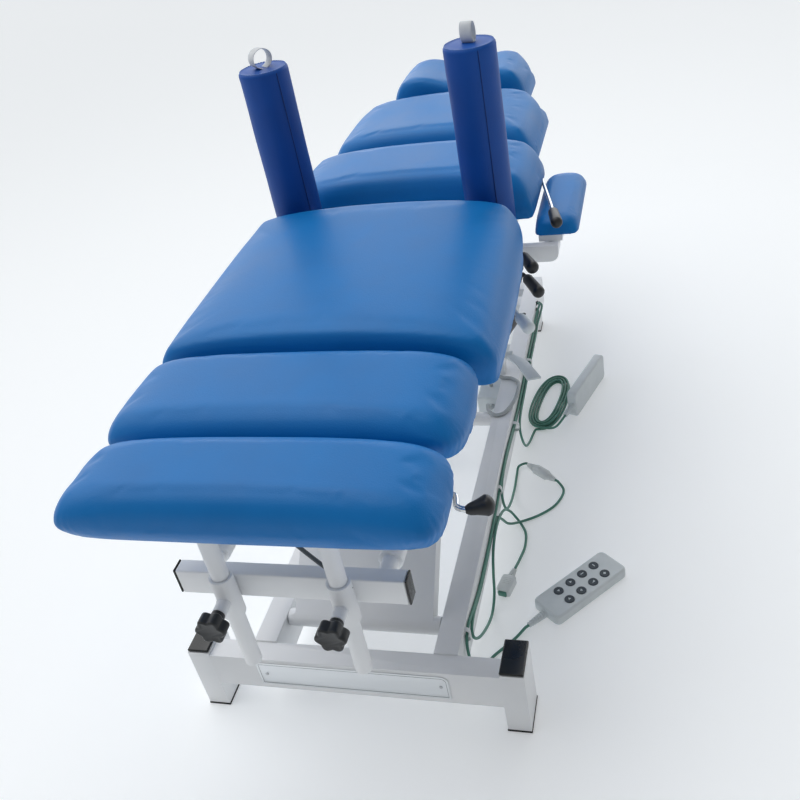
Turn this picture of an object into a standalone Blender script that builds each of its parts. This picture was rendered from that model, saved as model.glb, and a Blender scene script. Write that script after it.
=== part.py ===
# A chiropractic drop table: a lifting base, a flexing leg section, drop cushions and two bolsters.
# Metres, +Z up. The pieces are modelled in a table frame: X across, Y towards the head end, and the
# front face of the base at Y = 0. One empty shifts it all, so that the origin lies under the centre
# of the front left foot.
from math import atan2, cos, degrees, hypot, pi, radians, sin

import bmesh
import bpy
import numpy as np
from mathutils import Matrix, Vector

# General clearances
GAP = 0.0003
WELD = 0.001
OVERRUN = 0.002
PIVOT_PLAY = 0.0005
OPEN_PIVOT_PLAY = 0.0008

# Base frame
BASE_HALF_WIDTH = 0.318
BEAM_LOW = 0.066
BEAM_TOP = 0.146
BEAM_DEPTH = 0.042
BEAM_RECESS = 0.0005
LEG_WIDTH = 0.043
LEG_DEPTH = 0.077
LEG_TOP = 0.152
LEG_CAP_HEIGHT = 0.006
PAD_HEIGHT = 0.004
PAD_MARGIN = 0.001
RAIL_OUTER = 0.196
RAIL_WIDTH = 0.044
RAIL_LOW = 0.070
RAIL_TOP = 0.150
RAIL_END = 1.420
REAR_LEG_OUTER = 0.186
REAR_LEG_WIDTH = 0.040
REAR_LEG_FRONT = 1.359
REAR_LEG_DEPTH = 0.050
REAR_BEAM_LOW = 0.075
REAR_BEAM_TOP = 0.145
BRACE_LOW = 0.078
BRACE_TOP = 0.140
BRACE_DEPTH = 0.050

# Name plate
PLATE_HALF_LENGTH = 0.183
NAME_PLATE_LOW = 0.078
NAME_PLATE_TOP = 0.137
NAME_PLATE_THICKNESS = 0.0012
NAME_PLATE_CORNER = 0.014

# Lift
LIFT_ANGLE = radians(42)
ARM_LENGTH = 0.520
FRONT_PIVOT_Y = 0.115
REAR_PIVOT_Y = 0.750
PIVOT_Z = 0.135
LOWER_TUBE_RADIUS = 0.017
UPPER_TUBE_RADIUS = 0.015
PIVOT_PIN_RADIUS = 0.008
PIVOT_PIN_LENGTH = 0.012
ARM_TUBE_GAP = 0.002
PANEL_HALF_WIDTH = 0.1365
PANEL_WALL = 0.006
PANEL_TOP = 0.015
PANEL_LOW = 0.020
PANEL_END_GAP = 0.008
BAR_INNER = 0.095
BAR_WIDTH = 0.012
BAR_HALF_HEIGHT = 0.016
CRANK_RADIUS = 0.080
CRANK_ANGLE = radians(86)
CRANK_INNER = 0.012
CRANK_WALL = 0.006
CRANK_HALF_HEIGHT = 0.011
CRANK_PIN_RADIUS = 0.006

# Actuator
ACTUATOR_Y = 1.300
ACTUATOR_Z = 0.200
ACTUATOR_PIN_RADIUS = 0.007
ACTUATOR_EYE_RADIUS = 0.014
ACTUATOR_EYE_HALF_WIDTH = 0.012
ACTUATOR_LUG_WALL = 0.008
ACTUATOR_LUG_RADIUS = 0.015
GEARBOX_START = 0.022
GEARBOX_LENGTH = 0.080
GEARBOX_HALF_WIDTH = 0.028
GEARBOX_TOP = 0.026
GEARBOX_BOTTOM = 0.048
MOTOR_OFFSET = 0.055
MOTOR_RADIUS = 0.025
MOTOR_LENGTH = 0.150
ACTUATOR_TUBE_RADIUS = 0.022
ACTUATOR_TUBE_END = 0.330
ACTUATOR_BORE_START = 0.115
ROD_RADIUS = 0.011
ROD_START = 0.170
ROD_EYE_RADIUS = 0.016
ROD_EYE_PLAY = 0.0055

# Control box and foot pedal
CONTROL_BOX_WIDTH = 0.060
CONTROL_BOX_START = 0.850
CONTROL_BOX_LENGTH = 0.250
CONTROL_BOX_LOW = 0.055
CONTROL_BOX_TOP = 0.125
PEDAL_Y = 0.930
PEDAL_Z = 0.200
PEDAL_PIN_RADIUS = 0.005
PEDAL_BARREL_RADIUS = 0.009
PEDAL_BARREL_LENGTH = 0.022
PEDAL_THICKNESS = 0.006
PEDAL_EAR_WALL = 0.014
PEDAL_EAR_DEPTH = 0.030
PEDAL_REACH = 0.118
PEDAL_INSET = 0.006

# Top frame
TOP_RAIL_INNER = 0.165
TOP_RAIL_WIDTH = 0.040
TOP_RAIL_LOW = 0.488
TOP_RAIL_TOP = 0.528
TOP_RAIL_START = 0.440
TOP_RAIL_END = 1.460
LUG_INNER = 0.1525
LUG_WIDTH = 0.022
LUG_HALF_DEPTH = 0.028
LUG_DROP = 0.028
FLEX_Y = 0.755
FLEX_Z = 0.565
FLEX_RADIUS = 0.012
CROSS_HEAD_ROOM = 0.003
CROSS_DEPTH = 0.030
SOCKET_BLOCK_OUTER = 0.236
SOCKET_BLOCK_DEPTH = 0.045

# Drop plates, their hinges and stops
PLATE_LOW = 0.6067
PLATE_THICKNESS = 0.015
CUSHION_HEIGHT = 0.090
HINGE_DROP = 0.0107
HINGE_X = 0.100
HINGE_WIDTH = 0.030
HINGE_LUG_WALL = 0.008
HINGE_PIN_RADIUS = 0.006
LUG_FOOT_share = 0.9
HINGE_LUG_RADIUS = 0.010
KNUCKLE_RADIUS = 0.0105
STOP_HALF_WIDTH = 0.012
STOP_X = 0.132
DROP_TRAVEL = 0.0135
PLATE_MARGIN = 0.030
PLATE_END_MARGIN = 0.012

# Cushions, from the foot end to the head end
FOOT_START = -0.196
FOOT_LENGTH = 0.172
CALF_START = -0.018
CALF_LENGTH = 0.214
PELVIC_START = 0.202
PELVIC_LENGTH = 0.488
LUMBAR_START = 0.825
LUMBAR_LENGTH = 0.263
THORACIC_START = 1.102
THORACIC_LENGTH = 0.353
HEAD_START = 1.475
HEAD_LENGTH = 0.237
HEAD_RISE = 0.022
WIDE_HALF_WIDTH = 0.300
LUMBAR_HALF_WIDTH = 0.285
THORACIC_HALF_WIDTH = 0.258
HEAD_HALF_WIDTH = 0.195
HINGE_INSET = 0.018
NARROW_CUSHION = 0.250
CUSHION_CORNER = 0.045
THORACIC_CORNER = 0.095
HEAD_CORNER = 0.070
CROWN_DROP = 0.030
CUSHION_TUCK = 0.018
CUSHION_SHOULDER = 0.020
HEAD_VALLEY = 0.032
HEAD_VALLEY_WIDTH = 0.060

# Leg section
LEG_RAIL_INNER = 0.115
LEG_RAIL_WIDTH = 0.035
LEG_RAIL_LOW = 0.545
LEG_RAIL_TOP = 0.585
LEG_RAIL_START = 0.020
LEG_RAIL_OVERHANG = 0.020
LEG_CROSS_Y = 0.400
CALF_PLATE_START = 0.004
SLIDE_X = 0.147
SLIDE_Z = 0.4505
SLIDE_RADIUS = 0.0135
SLEEVE_RADIUS = 0.020
SLEEVE_START = -0.030
SLEEVE_END = 0.250
SLIDE_END = 0.200
HANGER_WALL = 0.010
HANGER_DEPTH = 0.030

# Foot bracket and posts
BRACKET_HALF_LENGTH = 0.1875
BRACKET_FRONT = -0.095
BRACKET_DEPTH = 0.027
BRACKET_LOW = 0.426
BRACKET_TOP = 0.475
BRACKET_CAP_THICKNESS = 0.004
POST_X = 0.095
POST_RADIUS = 0.014
POST_LOW = 0.296
POST_SLEEVE_RADIUS = 0.0185
POST_SLEEVE_LOW = 0.410
POST_SLEEVE_TOP = 0.490
BOSS_Z = 0.447
BOSS_RADIUS = 0.011
BOSS_LENGTH = 0.020
STUD_RADIUS = 0.005
KNOB_RADIUS = 0.025
KNOB_LOBES = 6
KNOB_THICKNESS = 0.022
KNOB_HUB_RADIUS = 0.011
KNOB_HUB_LENGTH = 0.014

# Bolsters
BOLSTER_X = 0.208
BOLSTER_Y = 0.757
BOLSTER_RADIUS = 0.050
BOLSTER_HEIGHT = 0.3925
BOLSTER_ROUND = 0.006
BOLSTER_PIN_RADIUS = 0.008
BOLSTER_PIN_LENGTH = 0.055

# Armrest
OUTRIGGER_Y = 0.800
OUTRIGGER_DEPTH = 0.020
OUTRIGGER_END = 0.332
OUTRIGGER_LOW = 0.518
OUTRIGGER_TOP = 0.555
OUTRIGGER_CORNER = 0.018
ARMREST_PIVOT_X = 0.315
ARMREST_PIVOT_Y = 0.838
ARMREST_PIN_RADIUS = 0.006
ARMREST_BARREL_RADIUS = 0.013
ARMREST_TAB_WIDTH = 0.034
ARMREST_TAB_HEIGHT = 0.012
TRAY_WIDTH = 0.050
TRAY_LENGTH = 0.225
TRAY_THICKNESS = 0.014
ARMREST_PAD_INNER = 0.280
ARMREST_PAD_WIDTH = 0.095
ARMREST_PAD_START = 0.820
ARMREST_PAD_LENGTH = 0.280
ARMREST_PAD_HEIGHT = 0.033

# Levers
LEVER_ROD = 0.004
LEVER_SHAFT = 0.005
LEVER_SHAFT_DEPTH = 0.018
GRIP_RADIUS = 0.011
BARREL_RADIUS = 0.007
BARREL_LENGTH = 0.016
BARREL_PIN = 0.003
EAR_WALL = 0.006
THORACIC_LEVER_LENGTH = 0.415
LUMBAR_UPPER_LEVER_LENGTH = 0.122
LUMBAR_LOWER_LEVER_LENGTH = 0.148
LUMBAR_LOWER_LEVER_Y = 0.718
PELVIC_LEVER_LENGTH = 0.190
PELVIC_LEVER_Y = 0.587
FLEXION_LEVER_LENGTH = 0.088
FLEXION_LEVER_Y = 0.645
FOOT_LEVER_LENGTH = 0.080
FOOT_LEVER_X = 0.232
FOOT_LEVER_Y = 0.030
FOOT_LEVER_DROP = 0.012

# Handsets
HANDSET_LENGTH = 0.196
HANDSET_WIDTH = 0.074
HANDSET_THICKNESS = 0.024
HANDSET_ROUND = 0.005
HANDSET_X = 0.378
HANDSET_Y = 0.3405
HANDSET_ANGLE = radians(48.9)
BOOT_LENGTH = 0.045
BOOT_RADIUS = 0.0085
BUTTON_RADIUS = 0.0100
BUTTON_PITCH = 0.0328
BUTTON_ROW_PITCH = 0.0314
BUTTON_SHIFT = 0.0046
BUTTON_HEIGHT = 0.0045
BUTTON_PROUD = 0.0018
POCKET_DEPTH = 0.0050
SPARE_X = 0.344
SPARE_Y = 1.028
SPARE_ANGLE = atan2(0.952, 0.305)

# Cords
CORD_RADIUS = 0.003
CORD_SPACING = 0.018
CORD_LEAD = 0.008
MOTOR_CABLE_RADIUS = 0.0045
MOTOR_CABLE_SPACING = 0.020
CONNECTOR_RADIUS = 0.0125
CONNECTOR_LENGTH = 0.090
CONNECTOR_TIP_RADIUS = 0.005
CONNECTOR_X = 0.260
CONNECTOR_Y = 0.700
CONNECTOR_ANGLE = atan2(-0.061, 0.078)
PLUG_WIDTH = 0.030
PLUG_LENGTH = 0.046
PLUG_HEIGHT = 0.020
PLUG_BOOT_LENGTH = 0.024
PLUG_X = 0.226
PLUG_Y = 0.338
PLUG_ANGLE = atan2(0.060, 0.014)
HANK_X = 0.250
HANK_Y = 0.995
HANK_HALF_LENGTH = 0.090
HANK_HALF_WIDTH = 0.026
HANK_LOOPS = 6
HANK_PITCH = 0.0088
HANK_LAYER = 0.0074
HANK_WAIST_share = 0.15
HANK_STEPS = 20
HANK_TURN = radians(-8)

# Worked out from the sizes above
PLATE_TOP = PLATE_LOW + PLATE_THICKNESS
CUSHION_LOW = PLATE_TOP + GAP
HINGE_Z = PLATE_LOW - HINGE_DROP
HEAD_HINGE_Z = HINGE_Z + HEAD_RISE
RAIL_INNER = RAIL_OUTER - RAIL_WIDTH
LEG_INNER = BASE_HALF_WIDTH - LEG_WIDTH
FOOT_X = BASE_HALF_WIDTH - LEG_WIDTH / 2
FOOT_Y = LEG_DEPTH / 2
TOP_RAIL_OUTER = TOP_RAIL_INNER + TOP_RAIL_WIDTH
LEG_RAIL_OUTER = LEG_RAIL_INNER + LEG_RAIL_WIDTH
POST_Y = BRACKET_FRONT - POST_SLEEVE_RADIUS
ARM_RISE_Y = ARM_LENGTH * cos(LIFT_ANGLE)
ARM_RISE_Z = ARM_LENGTH * sin(LIFT_ANGLE)
UPPER_Z = PIVOT_Z + ARM_RISE_Z
ARM_TUBE_END = RAIL_INNER - ARM_TUBE_GAP
CRANK_Y = REAR_PIVOT_Y + CRANK_RADIUS * cos(CRANK_ANGLE)
CRANK_Z = PIVOT_Z + CRANK_RADIUS * sin(CRANK_ANGLE)
ACTUATOR_LENGTH = hypot(CRANK_Y - ACTUATOR_Y, CRANK_Z - ACTUATOR_Z)
ACTUATOR_ANGLE = atan2(CRANK_Z - ACTUATOR_Z, CRANK_Y - ACTUATOR_Y)
PELVIC_HINGE_Y = PELVIC_START + HINGE_INSET + HINGE_LUG_RADIUS
LUMBAR_HINGE_Y = LUMBAR_START + LUMBAR_LENGTH - HINGE_INSET
THORACIC_HINGE_Y = THORACIC_START + HINGE_INSET
HEAD_HINGE_Y = HEAD_START + HINGE_INSET
CORD_LOW = CORD_RADIUS + GAP
RAIL_MIDDLE_Z = (TOP_RAIL_LOW + TOP_RAIL_TOP) / 2
LEG_RAIL_MIDDLE_Z = (LEG_RAIL_LOW + LEG_RAIL_TOP) / 2


def collection(name):
    made = bpy.data.collections.new(name)
    bpy.context.scene.collection.children.link(made)
    return made


for old in list(bpy.data.objects):
    bpy.data.objects.remove(old, do_unlink=True)
table_parts = collection("chiropractic_drop_table")
cutters = collection("cutters")
table = bpy.data.objects.new("table", None)
table.location = (FOOT_X, -FOOT_Y, 0)
table_parts.objects.link(table)


def material(name, color, roughness, metallic=0.0):
    made = bpy.data.materials.new(name)
    made.use_nodes = True
    shader = made.node_tree.nodes["Principled BSDF"]
    shader.inputs["Base Color"].default_value = (*color, 1)
    shader.inputs["Roughness"].default_value = roughness
    shader.inputs["Metallic"].default_value = metallic
    return made


blue = material("blue_vinyl", (0.03, 0.14, 0.45), 0.45)
dark_blue = material("dark_blue_vinyl", (0.01, 0.06, 0.28), 0.5)
white = material("white_paint", (0.85, 0.86, 0.87), 0.35)
grey = material("grey_plastic", (0.62, 0.64, 0.65), 0.45)
black = material("black_plastic", (0.015, 0.015, 0.017), 0.4)
rubber = material("black_rubber", (0.02, 0.02, 0.02), 0.8)
chrome = material("chrome", (0.7, 0.7, 0.72), 0.15, 1.0)
brushed = material("brushed_plate", (0.72, 0.72, 0.73), 0.3, 1.0)
wood = material("plywood", (0.45, 0.30, 0.17), 0.7)
green = material("green_cord", (0.10, 0.33, 0.24), 0.5)
cable_grey = material("grey_cable", (0.70, 0.70, 0.68), 0.5)
button_grey = material("button_grey", (0.16, 0.17, 0.19), 0.5)


# Building blocks: each makes a temporary object, which a node then takes over
def from_bmesh(bm):
    mesh = bpy.data.meshes.new("block")
    bm.to_mesh(mesh)
    bm.free()
    made = bpy.data.objects.new("block", mesh)
    cutters.objects.link(made)
    return made


def from_evaluated(source):
    bpy.context.view_layer.update()
    graph = bpy.context.evaluated_depsgraph_get()
    mesh = bpy.data.meshes.new_from_object(source.evaluated_get(graph))
    made = bpy.data.objects.new("block", mesh)
    made.matrix_world = source.matrix_world
    cutters.objects.link(made)
    bpy.data.objects.remove(source, do_unlink=True)
    return made


def weld(thing, distance=GAP / 10):
    bm = bmesh.new()
    bm.from_mesh(thing.data)
    bmesh.ops.remove_doubles(bm, verts=bm.verts, dist=distance)
    bmesh.ops.recalc_face_normals(bm, faces=bm.faces)
    bm.to_mesh(thing.data)
    bm.free()
    return thing


def box(x, y, z):
    bm = bmesh.new()
    centre = Vector((sum(x) / 2, sum(y) / 2, sum(z) / 2))
    size = Matrix.Diagonal((abs(x[1] - x[0]), abs(y[1] - y[0]), abs(z[1] - z[0]), 1))
    bmesh.ops.create_cube(bm, size=1, matrix=Matrix.Translation(centre) @ size)
    return from_bmesh(bm)


def rod(start, end, radius, end_radius=None, sides=12):
    start, end = Vector(start), Vector(end)
    along = end - start
    turn = along.to_track_quat("Z", "Y").to_matrix().to_4x4()
    bm = bmesh.new()
    bmesh.ops.create_cone(
        bm, cap_ends=True, segments=sides, radius1=radius, radius2=end_radius or radius,
        depth=along.length, matrix=Matrix.Translation((start + end) / 2) @ turn,
    )
    return from_bmesh(bm)


def rod_x(x, y, z, radius, sides=12):
    return rod((x[0], y, z), (x[1], y, z), radius, sides=sides)


def flat_faces_joined(thing):
    # Faces that lie in one plane become one face, which undoes a Boolean's splits
    bm = bmesh.new()
    bm.from_mesh(thing.data)
    bmesh.ops.dissolve_limit(
        bm, angle_limit=radians(0.1), verts=bm.verts, edges=bm.edges, use_dissolve_boundaries=False
    )
    bm.to_mesh(thing.data)
    bm.free()
    return thing


def boolean(thing, others, operation):
    for other in others:
        step = thing.modifiers.new(operation.lower(), "BOOLEAN")
        step.operation = operation
        step.solver = "EXACT"
        step.object = other
    made = from_evaluated(thing)
    for other in others:
        bpy.data.objects.remove(other, do_unlink=True)
    return flat_faces_joined(made)


def join(first, *others):
    return boolean(first, others, "UNION")


def cut(thing, *others):
    return boolean(thing, others, "DIFFERENCE")


def moved(thing, location=(0, 0, 0), turn=0.0, axis="Z"):
    thing.data.transform(Matrix.Translation(location) @ Matrix.Rotation(turn, 4, axis))
    return thing


def bevelled(thing, width, segments=2):
    step = thing.modifiers.new("bevel", "BEVEL")
    step.width = width
    step.segments = segments
    step.limit_method = "ANGLE"
    return from_evaluated(thing)


def curve_object(points, cyclic, dimensions):
    curve = bpy.data.curves.new("outline", "CURVE")
    curve.dimensions = dimensions
    spline = curve.splines.new("POLY")
    spline.points.add(len(points) - 1)
    for place, point in zip(spline.points, points):
        place.co = (*point, *(0,) * (3 - len(point)), 1)
    spline.use_cyclic_u = cyclic
    made = bpy.data.objects.new("outline", curve)
    cutters.objects.link(made)
    return made


def slab(points, thickness):
    outline = curve_object(points, True, "2D")
    outline.data.fill_mode = "BOTH"
    outline.data.extrude = thickness / 2
    return weld(from_evaluated(outline))


def tube(points, radius, resolution=2):
    path = curve_object(points, False, "3D")
    path.data.bevel_depth = radius
    path.data.bevel_resolution = resolution
    path.data.use_fill_caps = True
    return weld(from_evaluated(path))


def turned(profile, steps=16):
    bm = bmesh.new()
    corners = [bm.verts.new((r, 0, z)) for r, z in profile]
    for one, two in zip(corners, corners[1:]):
        bm.edges.new((one, two))
    thing = from_bmesh(bm)
    step = thing.modifiers.new("screw", "SCREW")
    step.steps = steps
    step.render_steps = steps
    step.use_merge_vertices = True
    step.merge_threshold = GAP / 10
    return weld(from_evaluated(thing))


def rounded_corner(x, y, radius, start, steps=4):
    angles = [start + pi / 2 * i / steps for i in range(steps + 1)]
    return [(x + radius * cos(a), y + radius * sin(a)) for a in angles]


def node(name, thing, finish, pivot=(0, 0, 0), turn=0.0, smooth=True):
    made = bpy.data.objects.new(name, thing.data)
    made.data.name = name
    made.data.materials.clear()
    made.data.materials.append(finish)
    if smooth:
        made.data.shade_smooth()
        made.data.set_sharp_from_angle(angle=radians(35))
    made.location = pivot
    made.rotation_euler = (turn, 0, 0)
    made.parent = table
    table_parts.objects.link(made)
    bpy.data.objects.remove(thing, do_unlink=True)
    return made


def about(thing, pivot):
    thing.data.transform(Matrix.Translation(-Vector(pivot)))
    return thing


def smooth_points(points, spacing):
    # Straight ends, and between them a Catmull-Rom curve through the points, read at even steps
    points = [np.array(p, float) for p in points]
    fine = []
    for a, b, c, d in zip(points, points[1:], points[2:], points[3:]):
        for t in np.linspace(0, 1, 24, endpoint=False):
            fine.append(
                b + (c - a) * t / 2 + (2 * a - 5 * b + 4 * c - d) * t**2 / 2
                + (3 * b - a - 3 * c + d) * t**3 / 2
            )
    fine.append(points[-2])
    fine = np.array(fine)
    run = np.concatenate([[0], np.cumsum(np.linalg.norm(np.diff(fine, axis=0), axis=1))])
    count = max(2, round(run[-1] / spacing))
    even = np.linspace(0, run[-1], count + 1)
    inner = np.stack([np.interp(even, run, fine[:, i]) for i in range(3)], 1)
    return np.concatenate([points[:1], inner, points[-1:]])


# Hinges of the plates: lugs with a pin stand on the frame, and the plate's knuckles turn on the pin
def hinge_seat(y, z, floor):
    made = []
    for side in (-1, 1):
        near = side * (HINGE_X - HINGE_WIDTH / 2)
        far = side * (HINGE_X + HINGE_WIDTH / 2)
        for face, away in ((near, -side), (far, side)):
            x = (face + away * GAP, face + away * (HINGE_LUG_WALL + GAP))
            foot = HINGE_LUG_RADIUS * LUG_FOOT_share
            top = z + HINGE_LUG_RADIUS / 4
            made.append(box(x, (y - foot, y + foot), (floor, top)))
            inset = (x[0] + away * GAP, x[1] - away * GAP)
            made.append(rod_x(inset, y, z, HINGE_LUG_RADIUS, sides=8))
        reach = side * HINGE_LUG_WALL / 2
        made.append(rod_x((near - reach, far + reach), y, z, HINGE_PIN_RADIUS, sides=8))
    return made


def hinge_knuckles(plate, y, z, plate_low):
    half = HINGE_WIDTH / 2 - GAP
    blocks = []
    bores = []
    for side in (-1, 1):
        x = (side * HINGE_X - half, side * HINGE_X + half)
        blocks.append(rod_x(x, y, z, KNUCKLE_RADIUS, sides=8))
        inset = (x[0] + GAP, x[1] - GAP)
        foot = KNUCKLE_RADIUS * LUG_FOOT_share
        low = z + KNUCKLE_RADIUS / 4
        blocks.append(box(inset, (y - foot, y + foot), (low, plate_low + WELD)))
        bore = (x[0] - OVERRUN, x[1] + OVERRUN)
        bores.append(rod_x(bore, y, z, HINGE_PIN_RADIUS + PIVOT_PLAY))
    return cut(join(plate, *blocks), *bores)


def plate_node(name, half_width, start, length, hinge_y, rise=0.0):
    low = PLATE_LOW + rise
    half = half_width - PLATE_MARGIN
    y = (start + PLATE_END_MARGIN, start + length - PLATE_END_MARGIN)
    plate = box((-half, half), y, (low, low + PLATE_THICKNESS))
    pivot = (0, hinge_y, HINGE_Z + rise)
    node(name, about(hinge_knuckles(plate, hinge_y, HINGE_Z + rise, low), pivot), wood, pivot)


# A cushion: a cube divided into cells, shaped by a formula and smoothed once
def cushion(half_width, start, length, low, height, corners=(CUSHION_CORNER,) * 2,
            crown=CROWN_DROP, valley=0.0, x_shares=(0, 0.74, 1), y_shares=(0, 0.62, 1)):
    half_length = length / 2
    bm = bmesh.new()
    bmesh.ops.create_cube(bm, size=2)
    for axis, cuts in ((0, 2 * len(x_shares) - 3), (1, 2 * len(y_shares) - 3), (2, 1)):
        along = [e for e in bm.edges if abs((e.verts[0].co - e.verts[1].co)[axis]) > 1]
        bmesh.ops.subdivide_edges(bm, edges=along, cuts=cuts, use_grid_fill=True)
    crease = bm.edges.layers.float.new("crease_edge")
    for edge in bm.edges:
        at_floor = all(v.co.z < -0.99 for v in edge.verts)
        if at_floor and len([f for f in edge.link_faces if abs(f.normal.z) > 0.5]) == 1:
            edge[crease] = 1.0
    for vert in bm.verts:
        u, v, w = vert.co
        column = round(abs(u) * (len(x_shares) - 1))
        row = round(abs(v) * (len(y_shares) - 1))
        inset = {-1: CUSHION_TUCK, 0: 0.0, 1: CUSHION_SHOULDER}[round(w)]
        x = abs(np.sign(u)) * x_shares[column] * (half_width - inset)
        y = abs(np.sign(v)) * y_shares[row] * (half_length - inset)
        radius = corners[0] if v < 0 else corners[1]
        into = (x - (half_width - inset - radius), y - (half_length - inset - radius))
        if min(into) > 0:
            pull = max(into) / hypot(*into)
            x += into[0] * (pull - 1)
            y += into[1] * (pull - 1)
        z = (w + 1) / 2 * height
        if w > -0.5:
            z -= crown * (w + 1) / 2 * (x / half_width) ** 4
            z -= valley * (w + 1) / 2 * np.exp(-((x / HEAD_VALLEY_WIDTH) ** 2))
        vert.co = (x * np.sign(u), y * np.sign(v), z)
    thing = from_bmesh(bm)
    step = thing.modifiers.new("smooth", "SUBSURF")
    step.levels = 1
    step.render_levels = 1
    thing = from_evaluated(thing)
    # The smoothing draws the surface in, so it is set back to its full size
    corner = np.array([v.co for v in thing.data.vertices])
    lowest, highest = corner.min(0), corner.max(0)
    target = np.array([[-half_width, start, low], [half_width, start + length, low + height]])
    scale = (target[1] - target[0]) / (highest - lowest)
    offset = target[0] - lowest * scale
    thing.data.transform(Matrix.Translation(offset) @ Matrix.Diagonal((*scale, 1)))
    return flat_faces_joined(thing)


def make_base_frame():
    beam = box((-LEG_INNER - WELD, LEG_INNER + WELD), (BEAM_RECESS, BEAM_DEPTH), (BEAM_LOW, BEAM_TOP))
    welded = []
    bores = []
    leg_low = PAD_HEIGHT + GAP
    for side in (-1, 1):
        outer = side * BASE_HALF_WIDTH
        welded.append(box((side * LEG_INNER, outer), (0, LEG_DEPTH), (leg_low, LEG_TOP)))
        rail = (side * RAIL_INNER, side * RAIL_OUTER)
        welded.append(box(rail, (BEAM_DEPTH - WELD, RAIL_END), (RAIL_LOW, RAIL_TOP)))
        leg = (side * (REAR_LEG_OUTER - REAR_LEG_WIDTH), side * REAR_LEG_OUTER)
        depth = (REAR_LEG_FRONT, REAR_LEG_FRONT + REAR_LEG_DEPTH)
        welded.append(box(leg, depth, (leg_low, RAIL_LOW + WELD)))
        for y in (FRONT_PIVOT_Y, REAR_PIVOT_Y):
            end = RAIL_INNER + PIVOT_PIN_LENGTH + OVERRUN
            bore = (side * (RAIL_INNER - OVERRUN), side * end)
            bores.append(rod_x(bore, y, PIVOT_Z, PIVOT_PIN_RADIUS + PIVOT_PLAY))
    across = (-RAIL_INNER - WELD, RAIL_INNER + WELD)
    depth = (REAR_LEG_FRONT, REAR_LEG_FRONT + REAR_LEG_DEPTH)
    welded.append(box(across, depth, (REAR_BEAM_LOW, REAR_BEAM_TOP)))
    brace = (ACTUATOR_Y - BRACE_DEPTH / 2, ACTUATOR_Y + BRACE_DEPTH / 2)
    welded.append(box(across, brace, (BRACE_LOW, BRACE_TOP)))
    # Two lugs carry the actuator's rear pin
    lug_face = ACTUATOR_EYE_HALF_WIDTH + GAP
    for side in (-1, 1):
        lug = (side * lug_face, side * (lug_face + ACTUATOR_LUG_WALL))
        foot = ACTUATOR_LUG_RADIUS * LUG_FOOT_share
        depth = (ACTUATOR_Y - foot, ACTUATOR_Y + foot)
        top = ACTUATOR_Z + ACTUATOR_LUG_RADIUS / 4
        welded.append(box(lug, depth, (BRACE_TOP - WELD, top)))
        inset = (side * (lug_face + GAP), side * (lug_face + ACTUATOR_LUG_WALL - GAP))
        welded.append(rod_x(inset, ACTUATOR_Y, ACTUATOR_Z, ACTUATOR_LUG_RADIUS))
    half = lug_face + ACTUATOR_LUG_WALL / 2
    welded.append(rod_x((-half, half), ACTUATOR_Y, ACTUATOR_Z, ACTUATOR_PIN_RADIUS))
    # The pedal's ear stands on the right rail and carries its pin
    ear = (RAIL_INNER - PEDAL_EAR_WALL + PEDAL_INSET, RAIL_INNER + PEDAL_INSET)
    depth = (PEDAL_Y - PEDAL_EAR_DEPTH / 2, PEDAL_Y + PEDAL_EAR_DEPTH / 2)
    welded.append(box(ear, depth, (RAIL_TOP - WELD, PEDAL_Z + PEDAL_BARREL_RADIUS)))
    pin = (ear[1] - WELD, ear[1] + PEDAL_BARREL_LENGTH)
    welded.append(rod_x(pin, PEDAL_Y, PEDAL_Z, PEDAL_PIN_RADIUS))
    node("base_frame", cut(join(beam, *welded), *bores), white)


def make_feet_and_caps():
    for side, word in ((-1, "left"), (1, "right")):
        inner = side * LEG_INNER
        outer = side * BASE_HALF_WIDTH
        low = LEG_TOP + GAP
        cap = box((inner, outer), (0, LEG_DEPTH), (low, low + LEG_CAP_HEIGHT))
        node(f"leg_cap_{word}", bevelled(cap, LEG_CAP_HEIGHT / 3, 1), black)
        pad = box(
            (inner - side * PAD_MARGIN, outer + side * PAD_MARGIN),
            (-PAD_MARGIN, LEG_DEPTH + PAD_MARGIN), (0, PAD_HEIGHT),
        )
        node(f"foot_pad_front_{word}", pad, rubber)
        inner = side * (REAR_LEG_OUTER - REAR_LEG_WIDTH - PAD_MARGIN)
        outer = side * (REAR_LEG_OUTER + PAD_MARGIN)
        end = REAR_LEG_FRONT + REAR_LEG_DEPTH + PAD_MARGIN
        pad = box((inner, outer), (REAR_LEG_FRONT - PAD_MARGIN, end), (0, PAD_HEIGHT))
        node(f"foot_pad_rear_{word}", pad, rubber)


def make_name_plate():
    r = NAME_PLATE_CORNER
    outline = [(-PLATE_HALF_LENGTH, NAME_PLATE_LOW), (PLATE_HALF_LENGTH, NAME_PLATE_LOW)]
    outline += rounded_corner(PLATE_HALF_LENGTH - r, NAME_PLATE_TOP - r, r, 0)
    outline.append((-PLATE_HALF_LENGTH, NAME_PLATE_TOP))
    plate = slab(outline, NAME_PLATE_THICKNESS)
    middle = BEAM_RECESS - GAP - NAME_PLATE_THICKNESS / 2
    node("name_plate", moved(plate, (0, middle, 0), pi / 2, "X"), brushed)


def arm_tubes():
    made = []
    for y, radius in ((0, LOWER_TUBE_RADIUS), (ARM_LENGTH, UPPER_TUBE_RADIUS)):
        pin = ARM_TUBE_END + PIVOT_PIN_LENGTH
        made.append(rod_x((-ARM_TUBE_END, ARM_TUBE_END), y, 0, radius))
        made.append(rod_x((-pin, pin), y, 0, PIVOT_PIN_RADIUS))
    return made


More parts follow.
